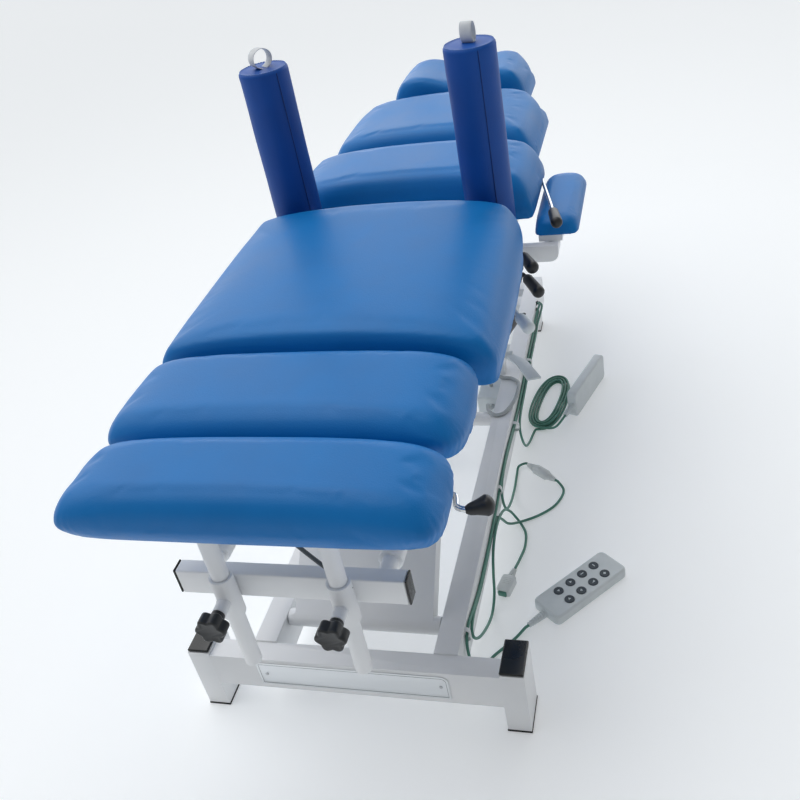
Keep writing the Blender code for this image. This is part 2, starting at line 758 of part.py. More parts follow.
def make_lift_arms():
    # The front arm is a panel with turned-down sides, and it lies along its own Y
    end = ARM_LENGTH - PANEL_END_GAP
    half = PANEL_HALF_WIDTH
    panel = box((-half, half), (PANEL_WALL, end), (PANEL_TOP - PANEL_WALL, PANEL_TOP))
    sides = []
    for side in (-1, 1):
        x = (side * (half - PANEL_WALL), side * half)
        sides.append(box(x, (PANEL_WALL, end), (-PANEL_LOW, PANEL_TOP)))
    pivot = (0, FRONT_PIVOT_Y, PIVOT_Z)
    node("lift_arm_front", join(panel, *sides, *arm_tubes()), white, pivot, LIFT_ANGLE)
    # The rear arm has two bars, and a crank that the actuator pushes
    first, *tubes = arm_tubes()
    bars = []
    for side in (-1, 1):
        x = (side * BAR_INNER, side * (BAR_INNER + BAR_WIDTH))
        bars.append(box(x, (0, ARM_LENGTH), (-BAR_HALF_HEIGHT, BAR_HALF_HEIGHT)))
        x = (side * CRANK_INNER, side * (CRANK_INNER + CRANK_WALL))
        crank = box(x, (0, CRANK_RADIUS), (-CRANK_HALF_HEIGHT, CRANK_HALF_HEIGHT))
        bars.append(moved(crank, turn=CRANK_ANGLE - LIFT_ANGLE, axis="X"))
        inset = (side * (CRANK_INNER + GAP), side * (CRANK_INNER + CRANK_WALL - GAP))
        crank_end = rod_x(inset, CRANK_RADIUS, 0, CRANK_HALF_HEIGHT + WELD)
        bars.append(moved(crank_end, turn=CRANK_ANGLE - LIFT_ANGLE, axis="X"))
    half = CRANK_INNER + CRANK_WALL / 2
    pin = rod_x((-half, half), CRANK_RADIUS, 0, CRANK_PIN_RADIUS)
    bars.append(moved(pin, turn=CRANK_ANGLE - LIFT_ANGLE, axis="X"))
    pivot = (0, REAR_PIVOT_Y, PIVOT_Z)
    node("lift_arm_rear", join(first, *tubes, *bars), white, pivot, LIFT_ANGLE)


def make_actuator():
    # The body lies along its own Y, from its rear eye to the crank, with the motor at its side
    eye_half = ACTUATOR_EYE_HALF_WIDTH
    eye = rod_x((-eye_half, eye_half), 0, 0, ACTUATOR_EYE_RADIUS)
    neck = box(
        (GAP - eye_half, eye_half - GAP), (0, GEARBOX_START + WELD),
        (-ACTUATOR_EYE_RADIUS / 2, ACTUATOR_EYE_RADIUS / 2),
    )
    gearbox_end = GEARBOX_START + GEARBOX_LENGTH
    gearbox = box(
        (-GEARBOX_HALF_WIDTH, GEARBOX_HALF_WIDTH), (GEARBOX_START, gearbox_end),
        (-GEARBOX_BOTTOM, GEARBOX_TOP),
    )
    motor_start = GEARBOX_START + WELD
    motor = rod(
        (0, motor_start, -MOTOR_OFFSET), (0, motor_start + MOTOR_LENGTH, -MOTOR_OFFSET),
        MOTOR_RADIUS, sides=14,
    )
    outer = rod((0, gearbox_end - WELD, 0), (0, ACTUATOR_TUBE_END, 0), ACTUATOR_TUBE_RADIUS)
    pin_bore = rod_x(
        (-eye_half - OVERRUN, eye_half + OVERRUN), 0, 0, ACTUATOR_PIN_RADIUS + PIVOT_PLAY
    )
    bore = rod(
        (0, ACTUATOR_BORE_START, 0), (0, ACTUATOR_TUBE_END + OVERRUN, 0), ROD_RADIUS + PIVOT_PLAY
    )
    body = cut(join(eye, neck, gearbox, motor, outer), pin_bore, bore)
    pivot = (0, ACTUATOR_Y, ACTUATOR_Z)
    node("actuator_body", body, grey, pivot, ACTUATOR_ANGLE)
    # The rod's eye stands round the crank's pin with play, because this pivot is left open
    eye_half = CRANK_INNER - 2 * GAP
    shaft_end = ACTUATOR_LENGTH - ROD_EYE_RADIUS + WELD
    shaft = rod((0, ROD_START, 0), (0, shaft_end, 0), ROD_RADIUS)
    eye = rod_x((-eye_half, eye_half), ACTUATOR_LENGTH, 0, ROD_EYE_RADIUS)
    bore = rod_x(
        (-eye_half - OVERRUN, eye_half + OVERRUN), ACTUATOR_LENGTH, 0,
        CRANK_PIN_RADIUS + ROD_EYE_PLAY,
    )
    node("actuator_rod", cut(join(shaft, eye), bore), chrome, pivot, ACTUATOR_ANGLE)


def make_control_box():
    outer = RAIL_INNER - GAP
    x = (outer - CONTROL_BOX_WIDTH, outer)
    y = (CONTROL_BOX_START, CONTROL_BOX_START + CONTROL_BOX_LENGTH)
    case = box(x, y, (CONTROL_BOX_LOW, CONTROL_BOX_TOP))
    node("control_box", bevelled(case, CONTROL_BOX_WIDTH / 15, 1), grey)


def make_pedal():
    # The pedal's plate runs out from the barrel over the rail, and broadens to a paddle
    start = RAIL_INNER + PEDAL_INSET + GAP
    end = start + PEDAL_BARREL_LENGTH - 2 * GAP
    barrel = rod_x((start, end), PEDAL_Y, PEDAL_Z, PEDAL_BARREL_RADIUS)
    near = PEDAL_Y - PEDAL_BARREL_RADIUS / 2
    wide = PEDAL_REACH / 2
    outline = [
        (start, PEDAL_Y), (start, near), (end + wide * 0.30, near - wide * 0.75),
        (end + wide * 0.86, near - wide * 1.85), (end + wide * 1.40, near - wide * 1.70),
        (end + wide * 0.70, near - wide * 0.50), (end, PEDAL_Y),
    ]
    plate = moved(slab(outline[::-1], PEDAL_THICKNESS), (0, 0, PEDAL_Z))
    bore = rod_x((start - OVERRUN, end + OVERRUN), PEDAL_Y, PEDAL_Z, PEDAL_PIN_RADIUS + GAP)
    pivot = (0, PEDAL_Y, PEDAL_Z)
    node("foot_pedal", about(cut(join(barrel, plate), bore), pivot), grey, pivot)


def ears(x, y, z, axis, reach_from):
    # Two ears and a pin that hold a lever's barrel, standing out from a face at reach_from
    half = BARREL_LENGTH / 2 + GAP
    made = []
    for side in (-1, 1):
        span = (side * half, side * (half + EAR_WALL))
        if axis == "Z":
            sides = (y - BARREL_RADIUS, y + BARREL_RADIUS)
            made.append(box((reach_from, x + BARREL_RADIUS), sides, (z + span[0], z + span[1])))
        else:
            sides = (x - BARREL_RADIUS, x + BARREL_RADIUS)
            made.append(box(sides, (y + span[0], y + span[1]), (z - BARREL_RADIUS, reach_from)))
    pin = half + EAR_WALL / 2
    step = Vector((0, 0, pin)) if axis == "Z" else Vector((0, pin, 0))
    centre = Vector((x, y, z))
    made.append(rod(centre - step, centre + step, BARREL_PIN, sides=8))
    return made


def lever(name, pivot, length, bend_shares, grip_radii, finish, barrel_axis=None,
          rod_radius=LEVER_ROD):
    # A bent rod from the pivot to the grip, with its bends as shares of the lever's length, and a
    # barrel or a plain shaft at its inner end
    *route, grip_end = [Vector(pivot) + length * Vector(bend) for bend in bend_shares]
    start = Vector(pivot) if barrel_axis else Vector(pivot) - Vector((LEVER_SHAFT_DEPTH, 0, 0))
    grip = rod(route[-1], grip_end, grip_radii[0], grip_radii[1])
    pieces = [tube([start, *route], rod_radius, 1), bevelled(grip, min(grip_radii) / 3, 1)]
    if barrel_axis:
        centre = Vector(pivot)
        step = Vector((0, 0, 1)) if barrel_axis == "Z" else Vector((0, 1, 0))
        half = BARREL_LENGTH / 2
        barrel = rod(centre - step * half, centre + step * half, BARREL_RADIUS)
        reach = half + OVERRUN
        bore = rod(centre - step * reach, centre + step * reach, BARREL_PIN + GAP, sides=8)
        made = cut(join(barrel, *pieces), bore)
    else:
        made = join(*pieces)
    node(name, about(made, pivot), finish, pivot)


# Places of the levers' pivots, which the frames share
THORACIC_LEVER = (TOP_RAIL_OUTER + BARREL_RADIUS + GAP, THORACIC_HINGE_Y, RAIL_MIDDLE_Z)
LUMBAR_UPPER_LEVER = (SOCKET_BLOCK_OUTER + BARREL_RADIUS + GAP, BOLSTER_Y, TOP_RAIL_TOP)
LUMBAR_LOWER_LEVER = (TOP_RAIL_OUTER, LUMBAR_LOWER_LEVER_Y, RAIL_MIDDLE_Z)
FLEXION_LEVER = (TOP_RAIL_OUTER, FLEXION_LEVER_Y, RAIL_MIDDLE_Z)
PELVIC_LEVER = (LEG_RAIL_OUTER, PELVIC_LEVER_Y, LEG_RAIL_MIDDLE_Z)
FOOT_LEVER = (FOOT_LEVER_X, FOOT_LEVER_Y, LEG_RAIL_LOW - FOOT_LEVER_DROP)


def shaft_bore(place):
    x, y, z = place
    return rod_x((x - LEVER_SHAFT_DEPTH - OVERRUN, x + OVERRUN), y, z, LEVER_SHAFT + GAP)


def make_top_frame():
    first, *welded = [
        box((side * TOP_RAIL_INNER, side * TOP_RAIL_OUTER), (TOP_RAIL_START, TOP_RAIL_END),
            (TOP_RAIL_LOW, TOP_RAIL_TOP))
        for side in (-1, 1)
    ]
    bores = []
    pin_end = LUG_INNER + PIVOT_PIN_LENGTH
    for side in (-1, 1):
        for lower, play in ((FRONT_PIVOT_Y, PIVOT_PLAY), (REAR_PIVOT_Y, OPEN_PIVOT_PLAY)):
            y = lower + ARM_RISE_Y
            lug = (side * LUG_INNER, side * (LUG_INNER + LUG_WIDTH))
            depth = (y - LUG_HALF_DEPTH, y + LUG_HALF_DEPTH)
            welded.append(box(lug, depth, (UPPER_Z - LUG_DROP, TOP_RAIL_LOW + LUG_WIDTH)))
            bore = (side * (LUG_INNER - OVERRUN), side * (pin_end + OVERRUN))
            bores.append(rod_x(bore, y, UPPER_Z, PIVOT_PIN_RADIUS + play))
        # The block on each rail holds the flexion shaft's end and the bolster's socket
        block = (side * (TOP_RAIL_INNER + WELD), side * SOCKET_BLOCK_OUTER)
        depth = (FLEX_Y - SOCKET_BLOCK_DEPTH / 2, FLEX_Y + SOCKET_BLOCK_DEPTH / 2)
        welded.append(box(block, depth, (TOP_RAIL_TOP - LUG_WIDTH, PLATE_LOW + GAP)))
        socket_low = PLATE_LOW - BOLSTER_PIN_LENGTH - OVERRUN
        bores.append(rod(
            (side * BOLSTER_X, BOLSTER_Y, socket_low), (side * BOLSTER_X, BOLSTER_Y, PLATE_TOP),
            BOLSTER_PIN_RADIUS + PIVOT_PLAY,
        ))
    shaft = TOP_RAIL_INNER + 2 * OVERRUN
    welded.append(rod_x((-shaft, shaft), FLEX_Y, FLEX_Z, FLEX_RADIUS))
    # Cross members, with the hinges and the stops of the drop plates
    across = (-TOP_RAIL_INNER - WELD, TOP_RAIL_INNER + WELD)
    middle = (LUMBAR_HINGE_Y - HINGE_LUG_RADIUS, THORACIC_HINGE_Y + HINGE_LUG_RADIUS)
    cross_low = UPPER_Z + UPPER_TUBE_RADIUS + CROSS_HEAD_ROOM
    cross_top = TOP_RAIL_TOP - WELD
    welded.append(box(across, middle, (cross_low, cross_top)))
    head_cross_end = TOP_RAIL_END - WELD
    stops = (
        (LUMBAR_START + PLATE_MARGIN, LUMBAR_START + PLATE_MARGIN + CROSS_DEPTH),
        (head_cross_end - CROSS_DEPTH, head_cross_end),
    )
    for y in stops:
        welded.append(box(across, y, (cross_low, cross_top)))
        for side in (-1, 1):
            x = (side * STOP_X - STOP_HALF_WIDTH, side * STOP_X + STOP_HALF_WIDTH)
            centre = sum(y) / 2
            depth = (centre - STOP_HALF_WIDTH / 2, centre + STOP_HALF_WIDTH / 2)
            welded.append(box(x, depth, (cross_top - WELD, PLATE_LOW - DROP_TRAVEL - OVERRUN)))
    floor = cross_top - WELD
    welded += hinge_seat(LUMBAR_HINGE_Y, HINGE_Z, floor)
    welded += hinge_seat(THORACIC_HINGE_Y, HINGE_Z, floor)
    # The head's hinge stands on a shelf behind the last cross member
    shelf = (head_cross_end - WELD, HEAD_HINGE_Y + HINGE_LUG_RADIUS)
    welded.append(box(across, shelf, (cross_low + WELD, cross_top - WELD / 2)))
    welded += hinge_seat(HEAD_HINGE_Y, HEAD_HINGE_Z, floor)
    # The outrigger carries the armrest on the right
    r = OUTRIGGER_CORNER
    inner = TOP_RAIL_OUTER - LUG_WIDTH / 2
    outline = [(inner, OUTRIGGER_LOW)]
    outline += rounded_corner(OUTRIGGER_END - r, OUTRIGGER_LOW + r, r, -pi / 2)
    outline += [(OUTRIGGER_END, OUTRIGGER_TOP), (inner, OUTRIGGER_TOP)]
    centre_y = OUTRIGGER_Y + OUTRIGGER_DEPTH / 2
    welded.append(moved(slab(outline, OUTRIGGER_DEPTH), (0, centre_y, 0), pi / 2, "X"))
    tab_top = OUTRIGGER_TOP - ARMREST_TAB_HEIGHT - GAP
    tab = (ARMREST_PIVOT_X - ARMREST_TAB_WIDTH / 2, ARMREST_PIVOT_X + ARMREST_TAB_WIDTH / 2 - WELD)
    depth = (OUTRIGGER_Y + OUTRIGGER_DEPTH - WELD, ARMREST_PIVOT_Y + ARMREST_TAB_WIDTH / 2)
    welded.append(box(tab, depth, (tab_top - ARMREST_TAB_HEIGHT, tab_top)))
    welded.append(rod(
        (ARMREST_PIVOT_X, ARMREST_PIVOT_Y, tab_top - WELD),
        (ARMREST_PIVOT_X, ARMREST_PIVOT_Y, OUTRIGGER_TOP + TRAY_THICKNESS / 3),
        ARMREST_PIN_RADIUS,
    ))
    welded += ears(*THORACIC_LEVER, "Z", TOP_RAIL_OUTER - WELD)
    welded += ears(*LUMBAR_UPPER_LEVER, "Z", SOCKET_BLOCK_OUTER - WELD)
    bores += [shaft_bore(LUMBAR_LOWER_LEVER), shaft_bore(FLEXION_LEVER)]
    pivot = (0, FRONT_PIVOT_Y + ARM_RISE_Y, UPPER_Z)
    node("top_frame", about(cut(join(first, *welded), *bores), pivot), white, pivot)


def make_leg_frame():
    rail_end = FLEX_Y + LEG_RAIL_OVERHANG
    plate_half = WIDE_HALF_WIDTH - 2 * PLATE_MARGIN
    calf_end = CALF_START + CALF_LENGTH - PLATE_END_MARGIN
    plate = box((-plate_half, plate_half), (CALF_PLATE_START, calf_end), (PLATE_LOW, PLATE_TOP))
    welded = []
    bores = []
    flex = rod_x((-LEG_RAIL_OUTER - OVERRUN, LEG_RAIL_OUTER + OVERRUN), FLEX_Y, FLEX_Z,
                 FLEX_RADIUS + PIVOT_PLAY)
    bores.append(flex)
    for side in (-1, 1):
        rail = (side * LEG_RAIL_INNER, side * LEG_RAIL_OUTER)
        welded.append(box(rail, (LEG_RAIL_START, rail_end), (LEG_RAIL_LOW, LEG_RAIL_TOP)))
        # Sleeves under the rails guide the foot bracket's slide tubes
        start, end = (side * SLIDE_X, SLEEVE_START, SLIDE_Z), (side * SLIDE_X, SLEEVE_END, SLIDE_Z)
        welded.append(rod(start, end, SLEEVE_RADIUS))
        bores.append(rod(
            (side * SLIDE_X, SLEEVE_START - OVERRUN, SLIDE_Z),
            (side * SLIDE_X, SLEEVE_END + OVERRUN, SLIDE_Z), SLIDE_RADIUS + GAP,
        ))
        hanger = (side * (LEG_RAIL_OUTER - WELD), side * (LEG_RAIL_OUTER - HANGER_WALL))
        for y in (LEG_RAIL_START + WELD, SLEEVE_END - HANGER_DEPTH):
            depth = (y, y + HANGER_DEPTH)
            low = SLIDE_Z + SLIDE_RADIUS + WELD
            welded.append(box(hanger, depth, (low, LEG_RAIL_LOW + WELD)))
        # A stop on the rail catches the pelvic plate
        x = (side * STOP_X - STOP_HALF_WIDTH, side * STOP_X + STOP_HALF_WIDTH)
        y = PELVIC_START + PELVIC_LENGTH - PLATE_MARGIN
        top = PLATE_LOW - DROP_TRAVEL - OVERRUN
        welded.append(box(x, (y - STOP_HALF_WIDTH, y), (LEG_RAIL_TOP - WELD, top)))
    front = (LEG_RAIL_START + WELD, LEG_RAIL_START + CROSS_DEPTH)
    welded.append(box((-plate_half + WELD, plate_half - WELD), front,
                      (LEG_RAIL_LOW + WELD, PLATE_LOW + WELD)))
    across = (-LEG_RAIL_INNER - WELD, LEG_RAIL_INNER + WELD)
    for y in (PELVIC_HINGE_Y, LEG_CROSS_Y):
        depth = (y - CROSS_DEPTH / 2, y + CROSS_DEPTH / 2)
        welded.append(box(across, depth, (LEG_RAIL_LOW + 2 * WELD, LEG_RAIL_TOP - 2 * WELD)))
    for side in (-1, 1):
        rail = (side * (LEG_RAIL_INNER + WELD), side * (LEG_RAIL_OUTER - WELD))
        depth = (calf_end - CROSS_DEPTH, calf_end - WELD)
        welded.append(box(rail, depth, (LEG_RAIL_TOP - WELD, PLATE_LOW + WELD)))
    welded += hinge_seat(PELVIC_HINGE_Y, HINGE_Z, LEG_RAIL_TOP - HINGE_LUG_RADIUS)
    welded += ears(*FOOT_LEVER, "Y", LEG_RAIL_LOW + 2 * WELD)
    bores.append(shaft_bore(PELVIC_LEVER))
    pivot = (0, FLEX_Y, FLEX_Z)
    node("leg_frame", about(cut(join(plate, *welded), *bores), pivot), white, pivot)


def make_plates():
    plate_node("pelvic_plate", WIDE_HALF_WIDTH, PELVIC_START, PELVIC_LENGTH, PELVIC_HINGE_Y)
    plate_node("lumbar_plate", LUMBAR_HALF_WIDTH, LUMBAR_START, LUMBAR_LENGTH, LUMBAR_HINGE_Y)
    plate_node(
        "thoracic_plate", THORACIC_HALF_WIDTH, THORACIC_START, THORACIC_LENGTH, THORACIC_HINGE_Y
    )
    plate_node("head_plate", HEAD_HALF_WIDTH, HEAD_START, HEAD_LENGTH, HEAD_HINGE_Y, HEAD_RISE)


def make_cushions():
    rows = (
        ("foot_cushion", WIDE_HALF_WIDTH, FOOT_START, FOOT_LENGTH, CUSHION_CORNER,
         (0, POST_Y, CUSHION_LOW)),
        ("calf_cushion", WIDE_HALF_WIDTH, CALF_START, CALF_LENGTH, CUSHION_CORNER,
         (0, FLEX_Y, FLEX_Z)),
        ("pelvic_cushion", WIDE_HALF_WIDTH, PELVIC_START, PELVIC_LENGTH, CUSHION_CORNER,
         (0, PELVIC_HINGE_Y, HINGE_Z)),
        ("lumbar_cushion", LUMBAR_HALF_WIDTH, LUMBAR_START, LUMBAR_LENGTH, CUSHION_CORNER,
         (0, LUMBAR_HINGE_Y, HINGE_Z)),
        ("thoracic_cushion", THORACIC_HALF_WIDTH, THORACIC_START, THORACIC_LENGTH,
         THORACIC_CORNER, (0, THORACIC_HINGE_Y, HINGE_Z)),
    )
    for name, half, start, length, rear_corner, pivot in rows:
        made = cushion(
            half, start, length, CUSHION_LOW, CUSHION_HEIGHT, (CUSHION_CORNER, rear_corner),
            y_shares=(0, 1) if length < NARROW_CUSHION else (0, 0.62, 1),
        )
        node(name, about(made, pivot), blue, pivot)
    # The head cushion stands higher, with two lobes beside a valley
    made = cushion(
        HEAD_HALF_WIDTH, HEAD_START, HEAD_LENGTH, CUSHION_LOW + HEAD_RISE, CUSHION_HEIGHT,
        (CUSHION_CORNER, HEAD_CORNER), valley=HEAD_VALLEY, x_shares=(0, 0.30, 0.74, 1),
    )
    pivot = (0, HEAD_HINGE_Y, HEAD_HINGE_Z)
    node("head_cushion", about(made, pivot), blue, pivot)


def make_foot_bracket():
    back = BRACKET_FRONT + BRACKET_DEPTH
    bar = box((-BRACKET_HALF_LENGTH, BRACKET_HALF_LENGTH), (BRACKET_FRONT, back),
              (BRACKET_LOW, BRACKET_TOP))
    welded = []
    bores = []
    boss_front = POST_Y - POST_SLEEVE_RADIUS - BOSS_LENGTH
    for side in (-1, 1):
        x = side * POST_X
        welded.append(rod((x, POST_Y + WELD, POST_SLEEVE_LOW), (x, POST_Y + WELD, POST_SLEEVE_TOP),
                          POST_SLEEVE_RADIUS + WELD))
        welded.append(rod((x, POST_Y, BOSS_Z), (x, boss_front, BOSS_Z), BOSS_RADIUS))
        x = side * SLIDE_X
        welded.append(rod((x, back - WELD, SLIDE_Z), (x, SLIDE_END, SLIDE_Z), SLIDE_RADIUS))
        x = side * POST_X
        bores.append(rod((x, POST_Y, POST_SLEEVE_LOW - OVERRUN),
                         (x, POST_Y, POST_SLEEVE_TOP + OVERRUN), POST_RADIUS + GAP))
        bores.append(rod((x, POST_Y, BOSS_Z), (x, boss_front - OVERRUN, BOSS_Z),
                         STUD_RADIUS + GAP))
        word = "left" if side < 0 else "right"
        face = BRACKET_HALF_LENGTH + GAP
        cap = box((side * face, side * (face + BRACKET_CAP_THICKNESS)), (BRACKET_FRONT, back),
                  (BRACKET_LOW, BRACKET_TOP))
        node(f"bracket_cap_{word}", bevelled(cap, BRACKET_CAP_THICKNESS / 3, 1), black)
    node("foot_bracket", cut(join(bar, *welded), *bores), white)


def make_foot_posts():
    plate_half = WIDE_HALF_WIDTH - 3 * PLATE_MARGIN
    y = (FOOT_START + PLATE_END_MARGIN, FOOT_START + FOOT_LENGTH - PLATE_END_MARGIN)
    plate = box((-plate_half, plate_half), y, (PLATE_LOW, PLATE_TOP))
    posts = [
        rod((side * POST_X, POST_Y, POST_LOW), (side * POST_X, POST_Y, PLATE_LOW + WELD),
            POST_RADIUS)
        for side in (-1, 1)
    ]
    pivot = (0, POST_Y, POST_LOW)
    node("foot_posts", about(join(plate, *posts), pivot), white, pivot)


def make_star_knobs():
    turns = np.linspace(0, 2 * pi, 4 * KNOB_LOBES, endpoint=False)
    radii = KNOB_RADIUS * (0.89 + 0.11 * np.cos(KNOB_LOBES * turns))
    outline = list(zip(radii * np.cos(turns), radii * np.sin(turns)))
    hub_front = POST_Y - POST_SLEEVE_RADIUS - BOSS_LENGTH - GAP
    star_front = hub_front - KNOB_HUB_LENGTH - KNOB_THICKNESS
    tip = POST_Y - POST_RADIUS - GAP
    for side, word in ((-1, "left"), (1, "right")):
        x = side * POST_X
        star = moved(slab(outline, KNOB_THICKNESS), turn=pi / 2, axis="X")
        star = moved(star, (x, star_front + KNOB_THICKNESS / 2, BOSS_Z))
        hub = rod((x, hub_front, BOSS_Z), (x, star_front + WELD, BOSS_Z), KNOB_HUB_RADIUS)
        stud = rod((x, tip, BOSS_Z), (x, hub_front - WELD, BOSS_Z), STUD_RADIUS)
        pivot = (x, POST_Y, BOSS_Z)
        node(f"star_knob_{word}", about(join(star, hub, stud), pivot), black, pivot)


def make_bolsters():
    low = PLATE_LOW + 2 * GAP
    top = low + BOLSTER_HEIGHT
    r, e, p = BOLSTER_RADIUS, BOLSTER_ROUND, BOLSTER_PIN_RADIUS
    pin_low = PLATE_LOW - BOLSTER_PIN_LENGTH
    profile = [
        (0, top), (r - e, top), (r - e / 3, top - e / 3), (r, top - e), (r, low + e),
        (r - e, low), (p, low), (p, pin_low), (0, pin_low),
    ]
    for side, word in ((-1, "left"), (1, "right")):
        pivot = (side * BOLSTER_X, BOLSTER_Y, low)
        made = moved(turned(profile), (0, 0, -low))
        node(f"bolster_{word}", made, dark_blue, pivot)


def make_armrest():
    x, y = ARMREST_PIVOT_X, ARMREST_PIVOT_Y
    low = OUTRIGGER_TOP + GAP
    tray_start = ARMREST_PAD_START + OVERRUN
    tray = box((x - TRAY_WIDTH / 2, x + TRAY_WIDTH / 2), (tray_start, tray_start + TRAY_LENGTH),
               (low, low + TRAY_THICKNESS))
    barrel_low = OUTRIGGER_TOP - ARMREST_TAB_HEIGHT
    barrel = rod((x, y, barrel_low), (x, y, low + WELD), ARMREST_BARREL_RADIUS)
    bore = rod((x, y, barrel_low - OVERRUN), (x, y, OUTRIGGER_TOP + TRAY_THICKNESS / 2),
               ARMREST_PIN_RADIUS + GAP)
    pivot = (x, y, barrel_low)
    node("armrest_arm", about(cut(join(tray, barrel), bore), pivot), white, pivot)
    pad = cushion(
        ARMREST_PAD_WIDTH / 2, ARMREST_PAD_START, ARMREST_PAD_LENGTH,
        low + TRAY_THICKNESS + GAP, ARMREST_PAD_HEIGHT, (CUSHION_SHOULDER * 1.6,) * 2,
        crown=CROWN_DROP / 10, x_shares=(0, 1),
    )
    moved(pad, (ARMREST_PAD_INNER + ARMREST_PAD_WIDTH / 2, 0, 0))
    node("armrest_pad", about(pad, pivot), blue, pivot)


def make_levers():
    bend_shares = (
        (0.045, 0, 0), (0.096, -0.017, 0.132), (0.127, -0.067, 0.246), (0.187, -0.342, 0.263),
        (0.252, -0.626, 0.279), (0.274, -0.730, 0.284), (0.312, -0.903, 0.294),
    )
    lever("thoracic_lever", THORACIC_LEVER, THORACIC_LEVER_LENGTH, bend_shares,
          (GRIP_RADIUS, GRIP_RADIUS * 1.1), chrome, "Z")
    bend_shares = (
        (0.115, -0.049, 0), (0.148, -0.123, 0.148), (0.170, -0.193, 0.352),
        (0.219, -0.291, 0.385), (0.465, -0.799, 0.385),
    )
    lever("lumbar_lever_upper", LUMBAR_UPPER_LEVER, LUMBAR_UPPER_LEVER_LENGTH, bend_shares,
          (GRIP_RADIUS, GRIP_RADIUS * 1.2), black, "Z")
    bend_shares = (
        (0.270, 0, 0), (0.351, -0.041, 0.081), (0.412, -0.074, 0.216), (0.493, -0.182, 0.216),
        (0.730, -0.649, 0.216),
    )
    lever("lumbar_lever_lower", LUMBAR_LOWER_LEVER, LUMBAR_LOWER_LEVER_LENGTH, bend_shares,
          (GRIP_RADIUS, GRIP_RADIUS * 1.15), black, rod_radius=LEVER_SHAFT)
    bend_shares = (
        (0.447, 0, 0), (0.526, -0.032, -0.053), (0.589, -0.058, -0.132),
        (0.695, -0.268, -0.132), (0.842, -0.526, -0.132),
    )
    lever("pelvic_release_lever", PELVIC_LEVER, PELVIC_LEVER_LENGTH, bend_shares,
          (GRIP_RADIUS, GRIP_RADIUS * 1.15), grey, rod_radius=LEVER_SHAFT)
    bend_shares = (
        (0.410, 0, 0), (0.510, -0.050, -0.120), (0.545, -0.216, -0.318), (0.386, -0.864, -0.318),
    )
    lever("flexion_lock_lever", FLEXION_LEVER, FLEXION_LEVER_LENGTH, bend_shares,
          (GRIP_RADIUS, GRIP_RADIUS * 1.05), black, rod_radius=LEVER_SHAFT)
    bend_shares = (
        (0.213, 0, 0), (0.300, -0.275, -0.025), (0.500, -0.338, -0.038), (0.988, -0.138, -0.038),
    )
    lever("foot_release_lever", FOOT_LEVER, FOOT_LEVER_LENGTH, bend_shares,
          (GRIP_RADIUS * 0.9, GRIP_RADIUS * 1.5), black, "Y", LEVER_SHAFT)


def handset_shell():
    # The shell lies along its own X, face up on its centre plane, with the cord boot at -X
    half = (HANDSET_LENGTH / 2, HANDSET_WIDTH / 2, HANDSET_THICKNESS / 2)
    shell = box((-half[0], half[0]), (-half[1], half[1]), (-half[2], half[2]))
    shell = bevelled(shell, HANDSET_ROUND, 1)
    boot = rod((-half[0] - BOOT_LENGTH, 0, 0), (-half[0] + WELD, 0, 0), CORD_RADIUS * 1.4,
               BOOT_RADIUS)
    return join(shell, boot)


def button_places():
    return [
        (BUTTON_SHIFT + (column - 1.5) * BUTTON_PITCH, (row - 0.5) * BUTTON_ROW_PITCH)
        for row in range(2) for column in range(4)
    ]


def make_handsets():
    half = HANDSET_THICKNESS / 2
    pockets = [
        rod((x, y, half - POCKET_DEPTH), (x, y, half + OVERRUN), BUTTON_RADIUS + GAP, sides=10)
        for x, y in button_places()
    ]
    face = cut(handset_shell(), *pockets)
    moved(face, turn=HANDSET_ANGLE)
    place = (HANDSET_X, HANDSET_Y, half)
    node("handset", face, grey, place)
    for number, (x, y) in enumerate(button_places(), 1):
        top = HANDSET_THICKNESS + BUTTON_PROUD
        centre = Matrix.Rotation(HANDSET_ANGLE, 3, "Z") @ Vector((x, y, 0))
        pivot = (HANDSET_X + centre.x, HANDSET_Y + centre.y, top)
        button = rod((0, 0, -BUTTON_HEIGHT), (0, 0, 0), BUTTON_RADIUS, sides=10)
        moved(button, turn=HANDSET_ANGLE)
        node(f"handset_button_{number}", button, button_grey, pivot)
    # The spare handset stands on its long edge
    spare = moved(handset_shell(), turn=pi / 2, axis="X")
    moved(spare, turn=SPARE_ANGLE)
    node("spare_handset", spare, grey, (SPARE_X, SPARE_Y, HANDSET_WIDTH / 2))


def along(x, y, angle, distance, z):
    return np.array((x + distance * cos(angle), y + distance * sin(angle), z))


def hank_points():
    # Loops spiral in on the floor, climb as the spiral turns back, and spiral out on top
    loops = np.linspace(0, HANK_LOOPS, HANK_LOOPS * HANK_STEPS + 1)
    out = HANK_PITCH * np.abs(loops - HANK_LOOPS / 2)
    turn = 2 * pi * loops
    waist = 1 - HANK_WAIST_share * np.sin(turn) ** 2
    x = (HANK_HALF_WIDTH + out) * np.sin(turn) * waist
    y = -(HANK_HALF_LENGTH + out) * np.cos(turn)
    climb = np.clip((loops - HANK_LOOPS / 2 + 0.25) / 0.5, 0, 1)
    z = CORD_LOW + HANK_LAYER * climb
    c, s = cos(HANK_TURN), sin(HANK_TURN)
    return np.stack([HANK_X + c * x - s * y, HANK_Y + s * x + c * y, z], 1)


def least_gap(points, diameter):
    # Distances between points and the stretches of the tube that aren't their neighbours
    least = 1.0
    ends = np.stack([points[:-1], points[1:]], 1)
    for i, point in enumerate(points):
        far = np.abs(np.arange(len(ends)) - i) > HANK_STEPS // 3
        start, step = ends[far, 0], ends[far, 1] - ends[far, 0]
        share = np.clip(((point - start) * step).sum(1) / (step**2).sum(1), 0, 1)
        away = np.linalg.norm(start + share[:, None] * step - point, axis=1)
        least = min(least, away.min() - diameter)
    return least


